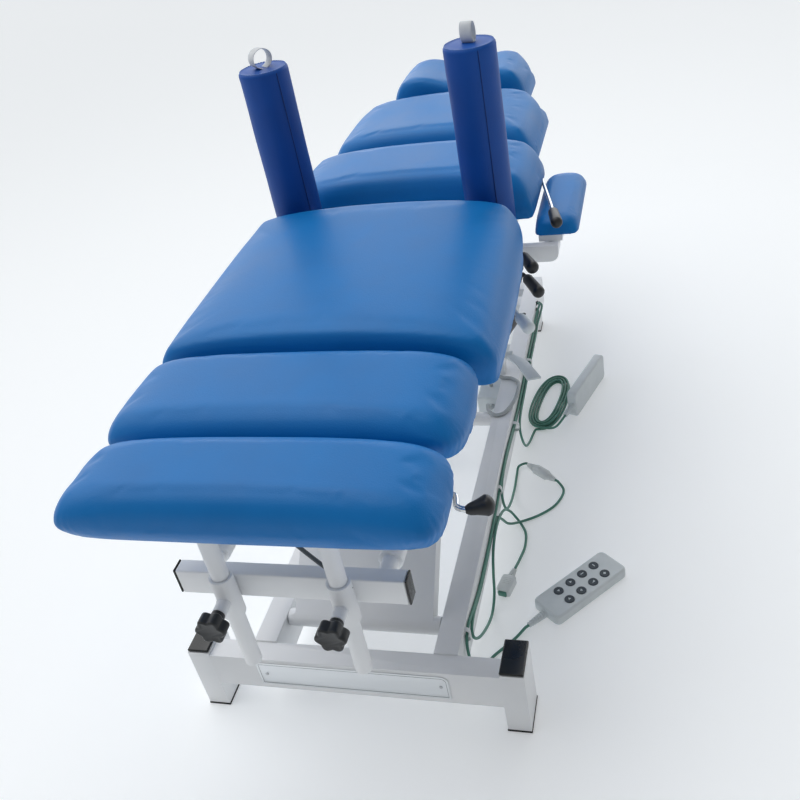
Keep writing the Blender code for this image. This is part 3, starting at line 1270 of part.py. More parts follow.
def make_cords():
    # Rail side: the cords come out of the rail near its rear end and run along its outer face
    face = RAIL_OUTER + CORD_LOW
    second = face + 2 * CORD_LOW
    handset_end = along(HANDSET_X, HANDSET_Y, HANDSET_ANGLE, -HANDSET_LENGTH / 2 - BOOT_LENGTH
                        - GAP, HANDSET_THICKNESS / 2)
    handset_lead = along(HANDSET_X, HANDSET_Y, HANDSET_ANGLE, -HANDSET_LENGTH / 2 - BOOT_LENGTH
                         - CORD_LEAD, HANDSET_THICKNESS / 2)
    route = [
        (RAIL_OUTER + GAP, 1.272, 0.146), (face + 0.002, 1.272, 0.146),
        (face + 0.006, 1.262, 0.1455), (face + 0.002, 1.240, 0.140),
        (face, 1.200, 0.132), (face, 1.147, 0.1255), (face, 1.010, 0.1225), (face, 0.880, 0.1155),
        (face, 0.760, 0.1185), (face, 0.620, 0.131), (face, 0.530, 0.1265), (face, 0.480, 0.118),
        (face, 0.400, 0.114), (face, 0.310, 0.112), (face, 0.230, 0.1145), (face, 0.190, 0.121),
        (face, 0.150, 0.130),
        (face, 0.115, 0.136), (face + 0.001, 0.090, 0.124), (face + 0.003, 0.082, 0.095),
        (face + 0.005, 0.088, 0.055), (face + 0.008, 0.104, 0.022), (face + 0.014, 0.130, 0.0055),
        (0.224, 0.158, CORD_LOW), (0.244, 0.184, CORD_LOW), (0.262, 0.206, 0.0050),
        handset_lead, handset_end,
    ]
    node("handset_cord", tube(smooth_points(route, CORD_SPACING), CORD_RADIUS), green)
    # The hank, with its tail to the spare handset, is one tube
    loops = hank_points()
    spare_end = along(SPARE_X, SPARE_Y, SPARE_ANGLE, -HANDSET_LENGTH / 2 - BOOT_LENGTH - GAP,
                      HANDSET_WIDTH / 2)
    spare_lead = along(SPARE_X, SPARE_Y, SPARE_ANGLE, -HANDSET_LENGTH / 2 - BOOT_LENGTH
                       - CORD_LEAD, HANDSET_WIDTH / 2)
    tail = smooth_points(
        [loops[-2], loops[-1], (0.262, 0.872, 0.0125), (0.281, 0.866, 0.024), spare_lead,
         spare_end], CORD_SPACING / 2,
    )
    tail = tail[np.linalg.norm(tail - loops[-1], axis=1) > CORD_SPACING / 3]
    whole = np.concatenate([loops, tail[tail[:, 0] > loops[-1][0]]])
    print("hank: least gap to itself", round(least_gap(whole, 2 * CORD_RADIUS) * 1000, 2), "mm")
    node("cord_hank", tube(whole, CORD_RADIUS, 1), green)
    heading = (loops[1] - loops[0]) / np.linalg.norm(loops[1] - loops[0])
    lead_end = loops[0] - heading * GAP
    route = [
        (RAIL_OUTER + GAP, 1.288, 0.139), (face + 0.003, 1.288, 0.139),
        (second + 0.004, 1.276, 0.1355), (second + 0.003, 1.240, 0.1305),
        (second, 1.200, 0.125), (second, 1.147, 0.120), (second, 1.010, 0.118),
        (second, 0.880, 0.111), (second + 0.001, 0.800, 0.110),
        (second + 0.003, 0.762, 0.098), (second + 0.006, 0.762, 0.060),
        (second + 0.008, 0.785, 0.025), (second + 0.010, 0.822, 0.0065),
        (0.221, 0.860, CORD_LOW), lead_end - heading * CORD_LEAD, lead_end,
    ]
    node("hank_lead", tube(smooth_points(route, CORD_SPACING), CORD_RADIUS), green)
    # The link cord runs to the in-line connector, and the plug cord on from it
    half = CONNECTOR_LENGTH / 2
    rise = CONNECTOR_RADIUS + GAP
    link_end = along(CONNECTOR_X, CONNECTOR_Y, CONNECTOR_ANGLE, -half - GAP, rise)
    link_lead = along(CONNECTOR_X, CONNECTOR_Y, CONNECTOR_ANGLE, -half - CORD_LEAD, rise)
    low_lane = 2 * CORD_RADIUS + 5 * GAP
    route = [
        (RAIL_OUTER + GAP, 1.258, 0.134), (face + 0.0015, 1.258, 0.134),
        (face + 0.0035, 1.248, 0.133), (face, 1.200, 0.1245),
        (face, 1.147, 0.1185), (face, 1.010, 0.1155), (face, 0.880, 0.1085),
        (face, 0.760, 0.1115), (face, 0.620, 0.1235), (face, 0.560, 0.1215),
        (face + 0.001, 0.525, 0.110), (face + 0.003, 0.515, 0.080), (face + 0.004, 0.535, 0.045),
        (face + 0.003, 0.590, 0.016), (face + 0.002, 0.650, 0.0045), (0.200, 0.700, CORD_LOW),
        (0.201, 0.728, 0.0060), link_lead, link_end,
    ]
    node("link_cord", tube(smooth_points(route, CORD_SPACING), CORD_RADIUS), green)
    tip, body = CONNECTOR_TIP_RADIUS, CONNECTOR_RADIUS
    profile = [
        (0, half), (tip, half), (tip, half * 0.72), (body, half * 0.45), (body, -half * 0.45),
        (tip, -half * 0.72), (tip, -half), (0, -half),
    ]
    connector = moved(turned(profile), turn=pi / 2, axis="Y")
    moved(connector, turn=CONNECTOR_ANGLE)
    node("inline_connector", connector, grey, (CONNECTOR_X, CONNECTOR_Y, rise))
    start = along(CONNECTOR_X, CONNECTOR_Y, CONNECTOR_ANGLE, half + GAP, rise)
    start_lead = along(CONNECTOR_X, CONNECTOR_Y, CONNECTOR_ANGLE, half + CORD_LEAD, rise)
    plug_rise = PLUG_HEIGHT / 2
    plug_back = PLUG_LENGTH / 2 + PLUG_BOOT_LENGTH
    plug_end = along(PLUG_X, PLUG_Y, PLUG_ANGLE, plug_back + GAP, plug_rise)
    plug_lead = along(PLUG_X, PLUG_Y, PLUG_ANGLE, plug_back + CORD_LEAD, plug_rise)
    route = [
        start, start_lead, (0.3165, 0.645, CORD_LOW), (0.303, 0.598, CORD_LOW),
        (0.271, 0.563, CORD_LOW), (0.232, 0.536, 0.0060), (0.210, 0.505, 0.028),
        (face + 0.003, 0.475, 0.070), (face, 0.445, 0.100), (face, 0.400, 0.114 - low_lane),
        (face, 0.310, 0.112 - low_lane), (face, 0.230, 0.114 - low_lane),
        (face, 0.165, 0.1165), (face + 0.002, 0.130, 0.114), (face + 0.005, 0.124, 0.098),
        (0.2065, 0.150, 0.068), (0.2065, 0.205, 0.030), (0.2065, 0.262, 0.0060),
        (0.2065, 0.303, 0.020), (0.2065, 0.322, 0.060), (second + 0.001, 0.345, 0.096),
        (second, 0.390, 0.109), (second + 0.001, 0.440, 0.106), (second + 0.003, 0.487, 0.085),
        (second + 0.006, 0.522, 0.050), (0.218, 0.540, 0.018), (0.233, 0.528, 0.0040),
        (0.246, 0.500, CORD_LOW), (0.249, 0.460, CORD_LOW), (0.244, 0.425, 0.0050),
        plug_lead, plug_end,
    ]
    node("plug_cord", tube(smooth_points(route, CORD_SPACING * 1.15), CORD_RADIUS), green)
    plug = box((-PLUG_LENGTH / 2, PLUG_LENGTH / 2), (-PLUG_WIDTH / 2, PLUG_WIDTH / 2),
               (-plug_rise, plug_rise))
    boot = rod((PLUG_LENGTH / 2 - WELD, 0, 0), (plug_back, 0, 0), plug_rise * 0.8,
               CORD_RADIUS * 1.4)
    plug = join(bevelled(plug, PLUG_HEIGHT / 5, 1), boot)
    node("plug", moved(plug, turn=PLUG_ANGLE), grey, (PLUG_X, PLUG_Y, plug_rise))
    # The motor cable lies in a loop over the right rail, between the control box's two glands
    top = RAIL_TOP + MOTOR_CABLE_RADIUS + GAP
    box_middle = RAIL_INNER - CONTROL_BOX_WIDTH / 2
    route = [
        (box_middle, 0.900, CONTROL_BOX_TOP + GAP), (box_middle, 0.900, 0.150),
        (0.132, 0.896, 0.166), (0.155, 0.893, top + 0.001), (0.178, 0.890, top),
        (0.1985, 0.868, top + 0.001), (0.2015, 0.838, top + 0.0015), (0.196, 0.790, top),
        (0.180, 0.748, top), (0.160, 0.738, top), (0.143, 0.752, top + 0.002),
        (0.134, 0.785, 0.150), (0.132, 0.815, 0.118),
        (0.131, CONTROL_BOX_START - 0.008, 0.102), (0.131, CONTROL_BOX_START - GAP, 0.102),
    ]
    cable = tube(smooth_points(route, MOTOR_CABLE_SPACING), MOTOR_CABLE_RADIUS)
    node("motor_cable", cable, cable_grey)


make_base_frame()
make_feet_and_caps()
make_name_plate()
make_lift_arms()
make_actuator()
make_control_box()
make_pedal()
make_top_frame()
make_leg_frame()
make_plates()
make_cushions()
make_foot_bracket()
make_foot_posts()
make_star_knobs()
make_bolsters()
make_armrest()
make_levers()
make_handsets()
make_cords()
print("nodes:", len([o for o in table_parts.objects if o.type == "MESH"]))
print("actuator angle:", round(degrees(ACTUATOR_ANGLE), 3), "length:", round(ACTUATOR_LENGTH, 4))
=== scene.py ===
from math import atan2, cos, pi, radians, sin

import bmesh
import bpy
import numpy as np
from mathutils import Matrix, Vector, noise


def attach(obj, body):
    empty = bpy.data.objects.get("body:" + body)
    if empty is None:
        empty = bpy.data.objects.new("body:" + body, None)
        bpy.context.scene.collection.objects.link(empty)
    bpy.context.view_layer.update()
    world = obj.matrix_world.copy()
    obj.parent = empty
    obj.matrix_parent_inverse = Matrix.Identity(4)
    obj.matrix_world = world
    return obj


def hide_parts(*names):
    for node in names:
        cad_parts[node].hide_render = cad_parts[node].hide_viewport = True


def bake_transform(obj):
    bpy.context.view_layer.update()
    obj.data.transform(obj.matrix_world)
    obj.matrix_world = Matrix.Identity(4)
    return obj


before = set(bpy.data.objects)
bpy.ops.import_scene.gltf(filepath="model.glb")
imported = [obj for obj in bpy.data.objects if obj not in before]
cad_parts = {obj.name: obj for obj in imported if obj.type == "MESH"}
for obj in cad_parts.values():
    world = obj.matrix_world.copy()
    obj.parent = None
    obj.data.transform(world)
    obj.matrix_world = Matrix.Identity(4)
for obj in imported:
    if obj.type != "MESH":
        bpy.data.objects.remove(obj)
bpy.ops.object.select_all(action="DESELECT")
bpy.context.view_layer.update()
print("frame loaded")

# The table's middle line and the front face of its base, in the frame's coordinates
tableMiddle = 0.2965
tableFront = -0.0385


def placed(x, y, z):
    return Vector((tableMiddle + x, tableFront + y, z))


# Camera, floor and light
cameraSetup = {
    "place": (0.8645, -1.0162, 1.4367), "turn": 0.3541, "dip": -0.594, "roll": 0.2137,
    "lens": 41.38,
}
bpy.ops.object.camera_add(location=cameraSetup["place"])
camera = bpy.context.object
camera.rotation_euler = (
    Matrix.Rotation(cameraSetup["turn"], 3, "Z") @ Matrix.Rotation(cameraSetup["dip"], 3, "X")
    @ Matrix.Rotation(cameraSetup["roll"], 3, "Y") @ Matrix.Rotation(pi / 2, 3, "X")
).to_euler()
camera.data.lens = cameraSetup["lens"]
camera.data.sensor_width = 36
bpy.context.scene.camera = camera
bpy.context.scene.view_settings.view_transform = "Standard"


def hexColour(code):
    # sRGB hex to linear
    parts = [int(code[i:i + 2], 16) / 255 for i in (1, 3, 5)]
    return tuple(p / 12.92 if p <= 0.04045 else ((p + 0.055) / 1.055) ** 2.4 for p in parts) + (1,)


def addNode(tree, kind, settings=(), links=()):
    # A node with its properties or socket values, and links from other nodes' outputs
    made = tree.nodes.new(kind)
    for key, value in dict(settings).items():
        if isinstance(key, int) or key in made.inputs.keys():
            made.inputs[key].default_value = value
        else:
            setattr(made, key, value)
    for key, source in dict(links).items():
        tree.links.new(source, made.inputs[key])
    return made


def linked(name, data):
    made = bpy.data.objects.new(name, data)
    bpy.context.scene.collection.objects.link(made)
    return made


def meshPiece(name, points, edges, faces):
    mesh = bpy.data.meshes.new(name)
    mesh.from_pydata(points, edges, faces)
    return linked(name, mesh)


def newFinish(name, base, roughness, metallic=0.0, **sockets):
    made = bpy.data.materials.new(name)
    made.use_nodes = True
    tree = made.node_tree
    shader = tree.nodes["Principled BSDF"]
    shader.inputs["Base Color"].default_value = hexColour(base)
    shader.inputs["Roughness"].default_value = roughness
    shader.inputs["Metallic"].default_value = metallic
    for key, value in sockets.items():
        shader.inputs[key.replace("_", " ")].default_value = value
    place = addNode(tree, "ShaderNodeTexCoord").outputs["Object"]
    return made, tree, shader, place


def grainOf(tree, place, scale, detail=2.0):
    return addNode(tree, "ShaderNodeTexNoise", {"Scale": scale, "Detail": detail},
                   {"Vector": place}).outputs["Fac"]


def tinted(tree, shader, source, dark, light, start=0.0, end=1.0):
    # The base colour goes from dark to light as the source rises
    colours = addNode(tree, "ShaderNodeValToRGB", {}, {"Fac": source})
    first, last = colours.color_ramp.elements
    first.position, last.position = start, end
    first.color, last.color = hexColour(dark), hexColour(light)
    tree.links.new(colours.outputs["Color"], shader.inputs["Base Color"])


def roughened(tree, shader, source, roughness, start=0.0, end=1.0):
    rough = addNode(tree, "ShaderNodeMapRange",
                    {"From Min": start, "From Max": end, "To Min": roughness[0],
                     "To Max": roughness[1]}, {"Value": source})
    tree.links.new(rough.outputs["Result"], shader.inputs["Roughness"])


def mottled(tree, shader, place, light, dark, size, roughness):
    # Colour and roughness wander between two values over patches of the given size in metres
    patches = grainOf(tree, place, 1 / size, 3)
    tinted(tree, shader, patches, dark, light, 0.35, 0.65)
    roughened(tree, shader, patches, roughness, 0.3, 0.7)


def embossed(tree, shader, height, strength, depth):
    bump = addNode(tree, "ShaderNodeBump", {"Strength": strength, "Distance": depth},
                   {"Height": height})
    tree.links.new(bump.outputs["Normal"], shader.inputs["Normal"])


def upholsteryVinyl(name, light, dark, roughness):
    # PVC leathercloth, calendered and embossed: a fine pebble grain and a soft sheen. The grain is
    # 0.8 mm across, drawn at 2.2 mm so that it shows
    made, tree, shader, place = newFinish(name, light, roughness[0], Specular_IOR_Level=0.26)
    mottled(tree, shader, place, light, dark, 0.12, roughness)
    pebbles = addNode(tree, "ShaderNodeTexVoronoi", {"Scale": 1 / 0.0022}, {"Vector": place})
    height = addNode(tree, "ShaderNodeMath", {"operation": "MULTIPLY_ADD", 1: 0.5},
                     {0: grainOf(tree, place, 1 / 0.02, 4.0), 2: pebbles.outputs["Distance"]})
    embossed(tree, shader, height.outputs["Value"], 0.35, 0.0004)
    return made


def powderCoat(name, light, dark):
    # Polyester powder baked on welded steel: a faint orange peel of 1.5 mm and a satin gloss
    made, tree, shader, place = newFinish(name, light, 0.36)
    mottled(tree, shader, place, light, dark, 0.15, (0.32, 0.42))
    embossed(tree, shader, grainOf(tree, place, 1 / 0.0015), 0.12, 0.0003)
    return made


def mouldedPlastic(name, light, dark, roughness, grain=0.0009, strength=0.15):
    # Injection-moulded with a spark-eroded grain, 0.3 mm in the tool and drawn coarser
    made, tree, shader, place = newFinish(name, light, roughness[0])
    mottled(tree, shader, place, light, dark, 0.05, roughness)
    embossed(tree, shader, grainOf(tree, place, 1 / grain), strength, 0.0002)
    return made


def platedSteel(name, colour, roughness):
    # Nickel and chrome on drawn rod: a mirror with faint hand smears
    made, tree, shader, place = newFinish(name, colour, roughness[0], 1.0)
    roughened(tree, shader, grainOf(tree, place, 45.0, 4.0), roughness)
    return made


def brushedAluminium(name, colour):
    # Rolled sheet brushed along its length and clear anodised: hairlines 0.2 mm apart, drawn at 0.8
    made, tree, shader, place = newFinish(name, colour, 0.38, 1.0)
    stretch = addNode(tree, "ShaderNodeMapping", {"Scale": (12, 1250, 1250)}, {"Vector": place})
    hairs = grainOf(tree, stretch.outputs["Vector"], 1.0)
    roughened(tree, shader, hairs, (0.3, 0.48))
    embossed(tree, shader, hairs, 0.2, 0.0001)
    return made


def birchPlywood(name):
    # Rotary-cut birch, 11 plies of 1.4 mm: fine long grain, and dark glue lines on the edges
    made, tree, shader, place = newFinish(name, "#b08a5c", 0.6)
    plies = addNode(tree, "ShaderNodeTexWave",
                    {"bands_direction": "Z", "Scale": 1 / 0.0028 / 6.28 * 2, "Distortion": 0.6},
                    {"Vector": place})
    stretch = addNode(tree, "ShaderNodeMapping", {"Scale": (8, 220, 60)}, {"Vector": place})
    grain = grainOf(tree, stretch.outputs["Vector"], 1.0, 5.0)
    both = addNode(tree, "ShaderNodeMath", {"operation": "MULTIPLY"},
                   {0: plies.outputs["Fac"], 1: grain})
    tinted(tree, shader, both.outputs["Value"], "#7d5b38", "#c7a273", 0.0, 0.5)
    embossed(tree, shader, grain, 0.2, 0.0003)
    return made


def wovenWebbing(name, light, dark):
    # Polyester webbing, plain woven: ribs 1.1 mm apart across the tape, drawn at 1.6
    made, tree, shader, place = newFinish(name, light, 0.75, Sheen_Weight=0.25)
    ribs = addNode(tree, "ShaderNodeTexWave",
                   {"bands_direction": "DIAGONAL", "Scale": 1 / 0.0016 / 6.28 * 2,
                    "Distortion": 0.4}, {"Vector": place})
    tinted(tree, shader, ribs.outputs["Fac"], dark, light)
    embossed(tree, shader, ribs.outputs["Fac"], 0.5, 0.0004)
    return made


blueVinyl = upholsteryVinyl("blue_embossed_pvc_leathercloth", "#0672bb", "#056db4", (0.40, 0.47))
# The bolsters use the cushions' blue vinyl, darkened: painted shade for their upright sides
bolsterShadeVinyl = upholsteryVinyl("blue_pvc_leathercloth_painted_shade", "#084c9f", "#074796", (0.46, 0.54))
# Seam vinyl: the bolster vinyl darkened further, painted shadow in the side seam's crease
seamShadeVinyl = upholsteryVinyl("seam_shadow_pvc", "#0a3370", "#092e66", (0.5, 0.6))
whiteSteel = powderCoat("white_powder_coated_steel", "#f0f1f2", "#eaecee")
blackPlastic = mouldedPlastic("black_moulded_nylon", "#14181b", "#101316", (0.28, 0.38))
glossBlack = mouldedPlastic("gloss_black_moulded_cap", "#0c1013", "#090c0e", (0.22, 0.30), 0.003,
                            0.05)
gripPlastic = mouldedPlastic("black_moulded_grip", "#15181b", "#101214", (0.35, 0.45))
footRubber = mouldedPlastic("black_moulded_rubber", "#191a1c", "#121314", (0.7, 0.85), 0.0016, 0.4)
greyPlastic = mouldedPlastic("grey_moulded_abs", "#dde3e5", "#d4dbdd", (0.4, 0.5))
lightPlastic = mouldedPlastic("light_grey_moulded_pvc", "#e4e8e8", "#dce0e0", (0.45, 0.55))
buttonRubber = mouldedPlastic("dark_moulded_silicone", "#39444c", "#333d45", (0.5, 0.6))
printInk = mouldedPlastic("pale_pad_printed_ink", "#d3dadd", "#c9d1d4", (0.55, 0.65))
plateInk = mouldedPlastic("grey_etched_line", "#5a6268", "#50585e", (0.55, 0.65))
chrome = platedSteel("chromed_steel_rod", "#d4d6d8", (0.06, 0.16))
zincSteel = platedSteel("zinc_plated_screw", "#b9bcbf", (0.22, 0.36))
brushedPlate = brushedAluminium("brushed_anodised_aluminium", "#dcdfe1")
plywood = birchPlywood("birch_plywood")
cordJacket = mouldedPlastic("green_extruded_pvc_cord", "#4f8878", "#477d6e", (0.4, 0.5), 0.002, 0.1)
cableJacket = mouldedPlastic("grey_extruded_pvc_cable", "#aeb3b5", "#a4aaac", (0.42, 0.52), 0.002,
                             0.1)
darkJacket = mouldedPlastic("dark_extruded_pvc_cable", "#4a5156", "#42494e", (0.4, 0.5), 0.002, 0.1)
webbing = wovenWebbing("white_woven_polyester", "#e4e7ea", "#c3c8cd")
stitchThread = wovenWebbing("blue_bonded_thread", "#5f8fce", "#4b78b5")
print("finishes made")

roomSetup = {
    "floor": "#e9edf0", "floorLift": 0.25, "world": "#f4f6f8", "fill": 0.42, "mirrored": 0.9,
    "bright": (0.0, 0.85, -0.5), "slopeFrom": (0.28, 0.52), "slope": (0.56, 2.5),
    "sunFrom": (-1.45, 0.3, 2.2), "sunPower": 1.52, "sunAngle": 66,
    "lampPlace": (0.2, 1.2, 3.4), "lampTarget": (0.3, 0.6, 0.5), "lampSize": 3.0, "lampPower": 27,
}
bpy.ops.mesh.primitive_plane_add(size=60, location=(0.3, 0.6, 0))
floor = bpy.context.object
floor.name = "studio_floor"
floorFinish, _, shader, _ = newFinish("matt_studio_floor", roomSetup["floor"], 0.9,
                                      Specular_IOR_Level=0.1)
# The backdrop is lit from below as well, so it stays pale and lights the base from underneath
shader.inputs["Emission Color"].default_value = hexColour("#ffffff")
shader.inputs["Emission Strength"].default_value = roomSetup["floorLift"]
floor.data.materials.append(floorFinish)
world = bpy.data.worlds.new("soft_studio")
bpy.context.scene.world = world
world.use_nodes = True
skyTree = world.node_tree
sky = skyTree.nodes["Background"]
sky.inputs["Color"].default_value = hexColour(roomSetup["world"])
rays = addNode(skyTree, "ShaderNodeLightPath")
# Brightest low down beyond the head end, dim behind the camera
where = addNode(skyTree, "ShaderNodeVectorMath",
                {"operation": "DOT_PRODUCT", 1: roomSetup["bright"]},
                {0: addNode(skyTree, "ShaderNodeTexCoord").outputs["Generated"]})
slope = addNode(skyTree, "ShaderNodeMapRange",
                {"From Min": roomSetup["slopeFrom"][0], "From Max": roomSetup["slopeFrom"][1],
                 "To Min": roomSetup["slope"][0], "To Max": roomSetup["slope"][1]},
                {"Value": where.outputs["Value"]})
level = addNode(skyTree, "ShaderNodeMapRange",
                {"To Min": roomSetup["fill"], "To Max": roomSetup["mirrored"]},
                {"Value": rays.outputs["Is Glossy Ray"]})
turned = addNode(skyTree, "ShaderNodeMath", {"operation": "MULTIPLY"},
                 {0: level.outputs["Result"], 1: slope.outputs["Result"]})
whole = addNode(skyTree, "ShaderNodeMapRange", {"To Max": 1.0},
                {"Value": rays.outputs["Is Camera Ray"], "To Min": turned.outputs["Value"]})
skyTree.links.new(whole.outputs["Result"], sky.inputs["Strength"])
bpy.ops.object.light_add(type="SUN", location=roomSetup["sunFrom"])
sun = bpy.context.object
sun.name = "window_light"
sun.data.energy = roomSetup["sunPower"]
sun.data.angle = radians(roomSetup["sunAngle"])
sun.rotation_euler = (-Vector(roomSetup["sunFrom"])).to_track_quat("-Z", "Y").to_euler()
bpy.ops.object.light_add(type="AREA", location=roomSetup["lampPlace"])
lamp = bpy.context.object
lamp.name = "overhead"
lamp.data.size = roomSetup["lampSize"]
lamp.data.energy = roomSetup["lampPower"]
downwards = Vector(roomSetup["lampTarget"]) - lamp.location
lamp.rotation_euler = downwards.to_track_quat("-Z", "Y").to_euler()
print("camera, floor and light set")


# Modelling steps that the pieces share
def choose(thing):
    bpy.ops.object.select_all(action="DESELECT")
    thing.select_set(True)
    bpy.context.view_layer.objects.active = thing


def pick(thing, kind, test):
    # Into edit mode with only the edges or faces that pass the test selected
    choose(thing)
    bpy.ops.object.mode_set(mode="EDIT")
    bpy.ops.mesh.select_mode(type=kind)
    bpy.ops.mesh.select_all(action="DESELECT")
    bm = bmesh.from_edit_mesh(thing.data)
    for piece in bm.edges if kind == "EDGE" else bm.faces:
        piece.select_set(test(piece))
    bmesh.update_edit_mesh(thing.data)


def leaveEdit():
    bpy.ops.object.mode_set(mode="OBJECT")


def isSharp(edge, angle=50):
    return len(edge.link_faces) == 2 and edge.calc_face_angle(0) > radians(angle)


def bevelSharp(thing, width, segments=2, angle=50):
    pick(thing, "EDGE", lambda edge: isSharp(edge, angle))
    bpy.ops.mesh.bevel(offset=width, segments=segments, affect="EDGES", clamp_overlap=True)
    leaveEdit()
    return thing


def mergePoints():
    # On the chosen piece: doubled points go, and every normal faces out
    bpy.ops.object.mode_set(mode="EDIT")
    bpy.ops.mesh.select_all(action="SELECT")
    bpy.ops.mesh.remove_doubles(threshold=0.00005)
    bpy.ops.mesh.normals_make_consistent(inside=False)
    leaveEdit()


def settle(thing):
    # The piece's place goes into its mesh
    choose(thing)
    bpy.ops.object.transform_apply(location=True, rotation=True, scale=True)
    return thing


def applied(thing, kind, **settings):
    # One modifier, set up and applied
    choose(thing)
    step = thing.modifiers.new(kind.lower(), kind)
    for key, value in settings.items():
        setattr(step, key, value)
    bpy.ops.object.modifier_apply(modifier=step.name)
    return thing


def smoothed(thing, angle=35):
    choose(thing)
    bpy.ops.object.shade_smooth_by_angle(angle=radians(angle))
    return thing


def joined(*parts):
    choose(parts[0])
    for part in parts:
        part.select_set(True)
    bpy.ops.object.join()
    return bpy.context.object


def plainBox(size, place=(0, 0, 0)):
    bpy.ops.mesh.primitive_cube_add(size=1, location=place, scale=size)
    return settle(bpy.context.object)


def block(x, y, z, edge=0.0015, segments=2):
    # A box between two points across, along and up, with its edges rounded
    size = (abs(x[1] - x[0]), abs(y[1] - y[0]), abs(z[1] - z[0]))
    return bevelSharp(plainBox(size, placed(sum(x) / 2, sum(y) / 2, sum(z) / 2)), edge, segments)


def plainBar(start, end, radius, sides=40):
    line = end - start
    bpy.ops.mesh.primitive_cylinder_add(
        vertices=sides, radius=radius, depth=line.length, location=(start + end) / 2,
        rotation=line.to_track_quat("Z", "Y").to_euler(),
    )
    return settle(bpy.context.object)


def roundedCase(size, corner, segments):
    # A box at the origin with its upright edges rounded
    case = plainBox(size)
    pick(case, "EDGE", lambda e: abs(e.verts[0].co.z - e.verts[1].co.z) > size[2] / 2)
    bpy.ops.mesh.bevel(offset=corner, segments=segments, affect="EDGES")
    leaveEdit()
    return case


def dish(thing, test, border, shift):
    # The faces that pass the test, inset and moved
    pick(thing, "FACE", test)
    bpy.ops.mesh.inset(thickness=border)
    bpy.ops.transform.translate(value=shift)
    leaveEdit()


def roundBar(start, end, radius, edge=0.001):
    return bevelSharp(plainBar(start, end, radius), edge)


def turnedPiece(profile, start, direction, steps=32):
    # A profile of (radius, distance) pairs turned about the line from start
    thing = meshPiece("turned", [(r, 0, d) for r, d in profile],
                      [(i, i + 1) for i in range(len(profile) - 1)], [])
    applied(thing, "SCREW", steps=steps, render_steps=steps, use_merge_vertices=True,
            merge_threshold=0.00005)
    mergePoints()
    thing.rotation_euler = Vector(direction).to_track_quat("Z", "Y").to_euler()
    thing.location = start
    return settle(thing)


def bentCurve(name, points, radius, detail=4):
    # One open Bezier through the points, with round jacket and closed ends
    points = [Vector(p) for p in points]
    data = bpy.data.curves.new(name, "CURVE")
    data.dimensions = "3D"
    data.resolution_u = 8
    data.bevel_depth = radius
    data.bevel_resolution = detail
    data.use_fill_caps = True
    spline = data.splines.new("BEZIER")
    spline.bezier_points.add(len(points) - 1)
    last = len(points) - 1
    for i, (point, knot) in enumerate(zip(points, spline.bezier_points)):
        before, after = points[max(i - 1, 0)], points[min(i + 1, last)]
        tangent = (after - before).normalized()
        knot.co = point
        knot.handle_left_type = knot.handle_right_type = "FREE"
        reach = (after - before).length / 6
        knot.handle_left = point - tangent * min(reach, (point - before).length * 0.4)
        knot.handle_right = point + tangent * min(reach, (after - point).length * 0.4)
    return linked(name, data)


def bentBar(points, radius, detail=4):
    made = bentCurve("bar", points, radius, detail)
    choose(made)
    bpy.ops.object.convert(target="MESH")
    mergePoints()
    return made


def painted(thing, finish):
    thing.data.materials.clear()
    thing.data.materials.append(finish)
    return thing


def dress(thing, name, body, finish=None, nodes=()):
    # Names the piece, gives its finish, and says what it rides on and stands for
    thing.name = name
    thing.data.name = name
    if finish:
        painted(thing, finish)
    if body:
        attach(thing, body)
    if nodes:
        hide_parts(*nodes)
    return thing


def ownCopy(thing, name):
    return linked(name, thing.data.copy())


def softEdged(node, name, body, finish, slot, width=0.0015, segments=2):
    # A merged copy of a CAD node, with its edges rounded
    thing = ownCopy(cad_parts[node], name)
    choose(thing)
    bpy.ops.mesh.customdata_custom_splitnormals_clear()
    bpy.ops.object.mode_set(mode="EDIT")
    bpy.ops.mesh.select_all(action="SELECT")
    bpy.ops.mesh.remove_doubles(threshold=0.00002)
    bpy.ops.mesh.dissolve_limited(angle_limit=radians(0.5))
    leaveEdit()
    applied(thing, "BEVEL", width=width, segments=segments, limit_method="ANGLE",
            angle_limit=radians(40), use_clamp_overlap=True)
    smoothed(thing)
    return dress(thing, name, body, finish, (node,))


# Cords: their routes repeat the source's, as points across, along and up from the table's front.
# Face and second are the two layers on the rail, and low is on the floor
cordSetup = {"radius": 0.003, "face": 0.1993, "second": 0.2059, "low": 0.0033}
# Whole lengths, with the runs inside the cases
face, second, low = cordSetup["face"], cordSetup["second"], cordSetup["low"]
handsetPlace = {"x": 0.378, "y": 0.3405, "angle": radians(48.9), "rise": 0.012,
                "size": (0.196, 0.074, 0.024), "boot": 0.045}
sparePlace = {"x": 0.344, "y": 1.028, "angle": atan2(0.952, 0.305), "rise": 0.037}
connectorPlace = {"x": 0.260, "y": 0.700, "angle": atan2(-0.061, 0.078), "half": 0.045,
                  "radius": 0.0125, "rise": 0.0128}
plugPlace = {"x": 0.226, "y": 0.338, "angle": atan2(0.060, 0.014), "rise": 0.010,
             "size": (0.046, 0.030, 0.020), "boot": 0.024, "corner": 0.006, "edge": 0.0028,
             "rib": 0.0022, "ribStart": -0.002, "ribPitch": 0.0048}


def near(spot, distance):
    # A point on a piece's long axis, level with its cord
    return placed(spot["x"] + distance * cos(spot["angle"]),
                  spot["y"] + distance * sin(spot["angle"]), spot["rise"])


def freeCord(name, points, nodes,
             radius=cordSetup["radius"], jacket=cordJacket):
    made = bentCurve(name, points, radius)
    dress(made, name, "base", jacket, nodes)
    return made


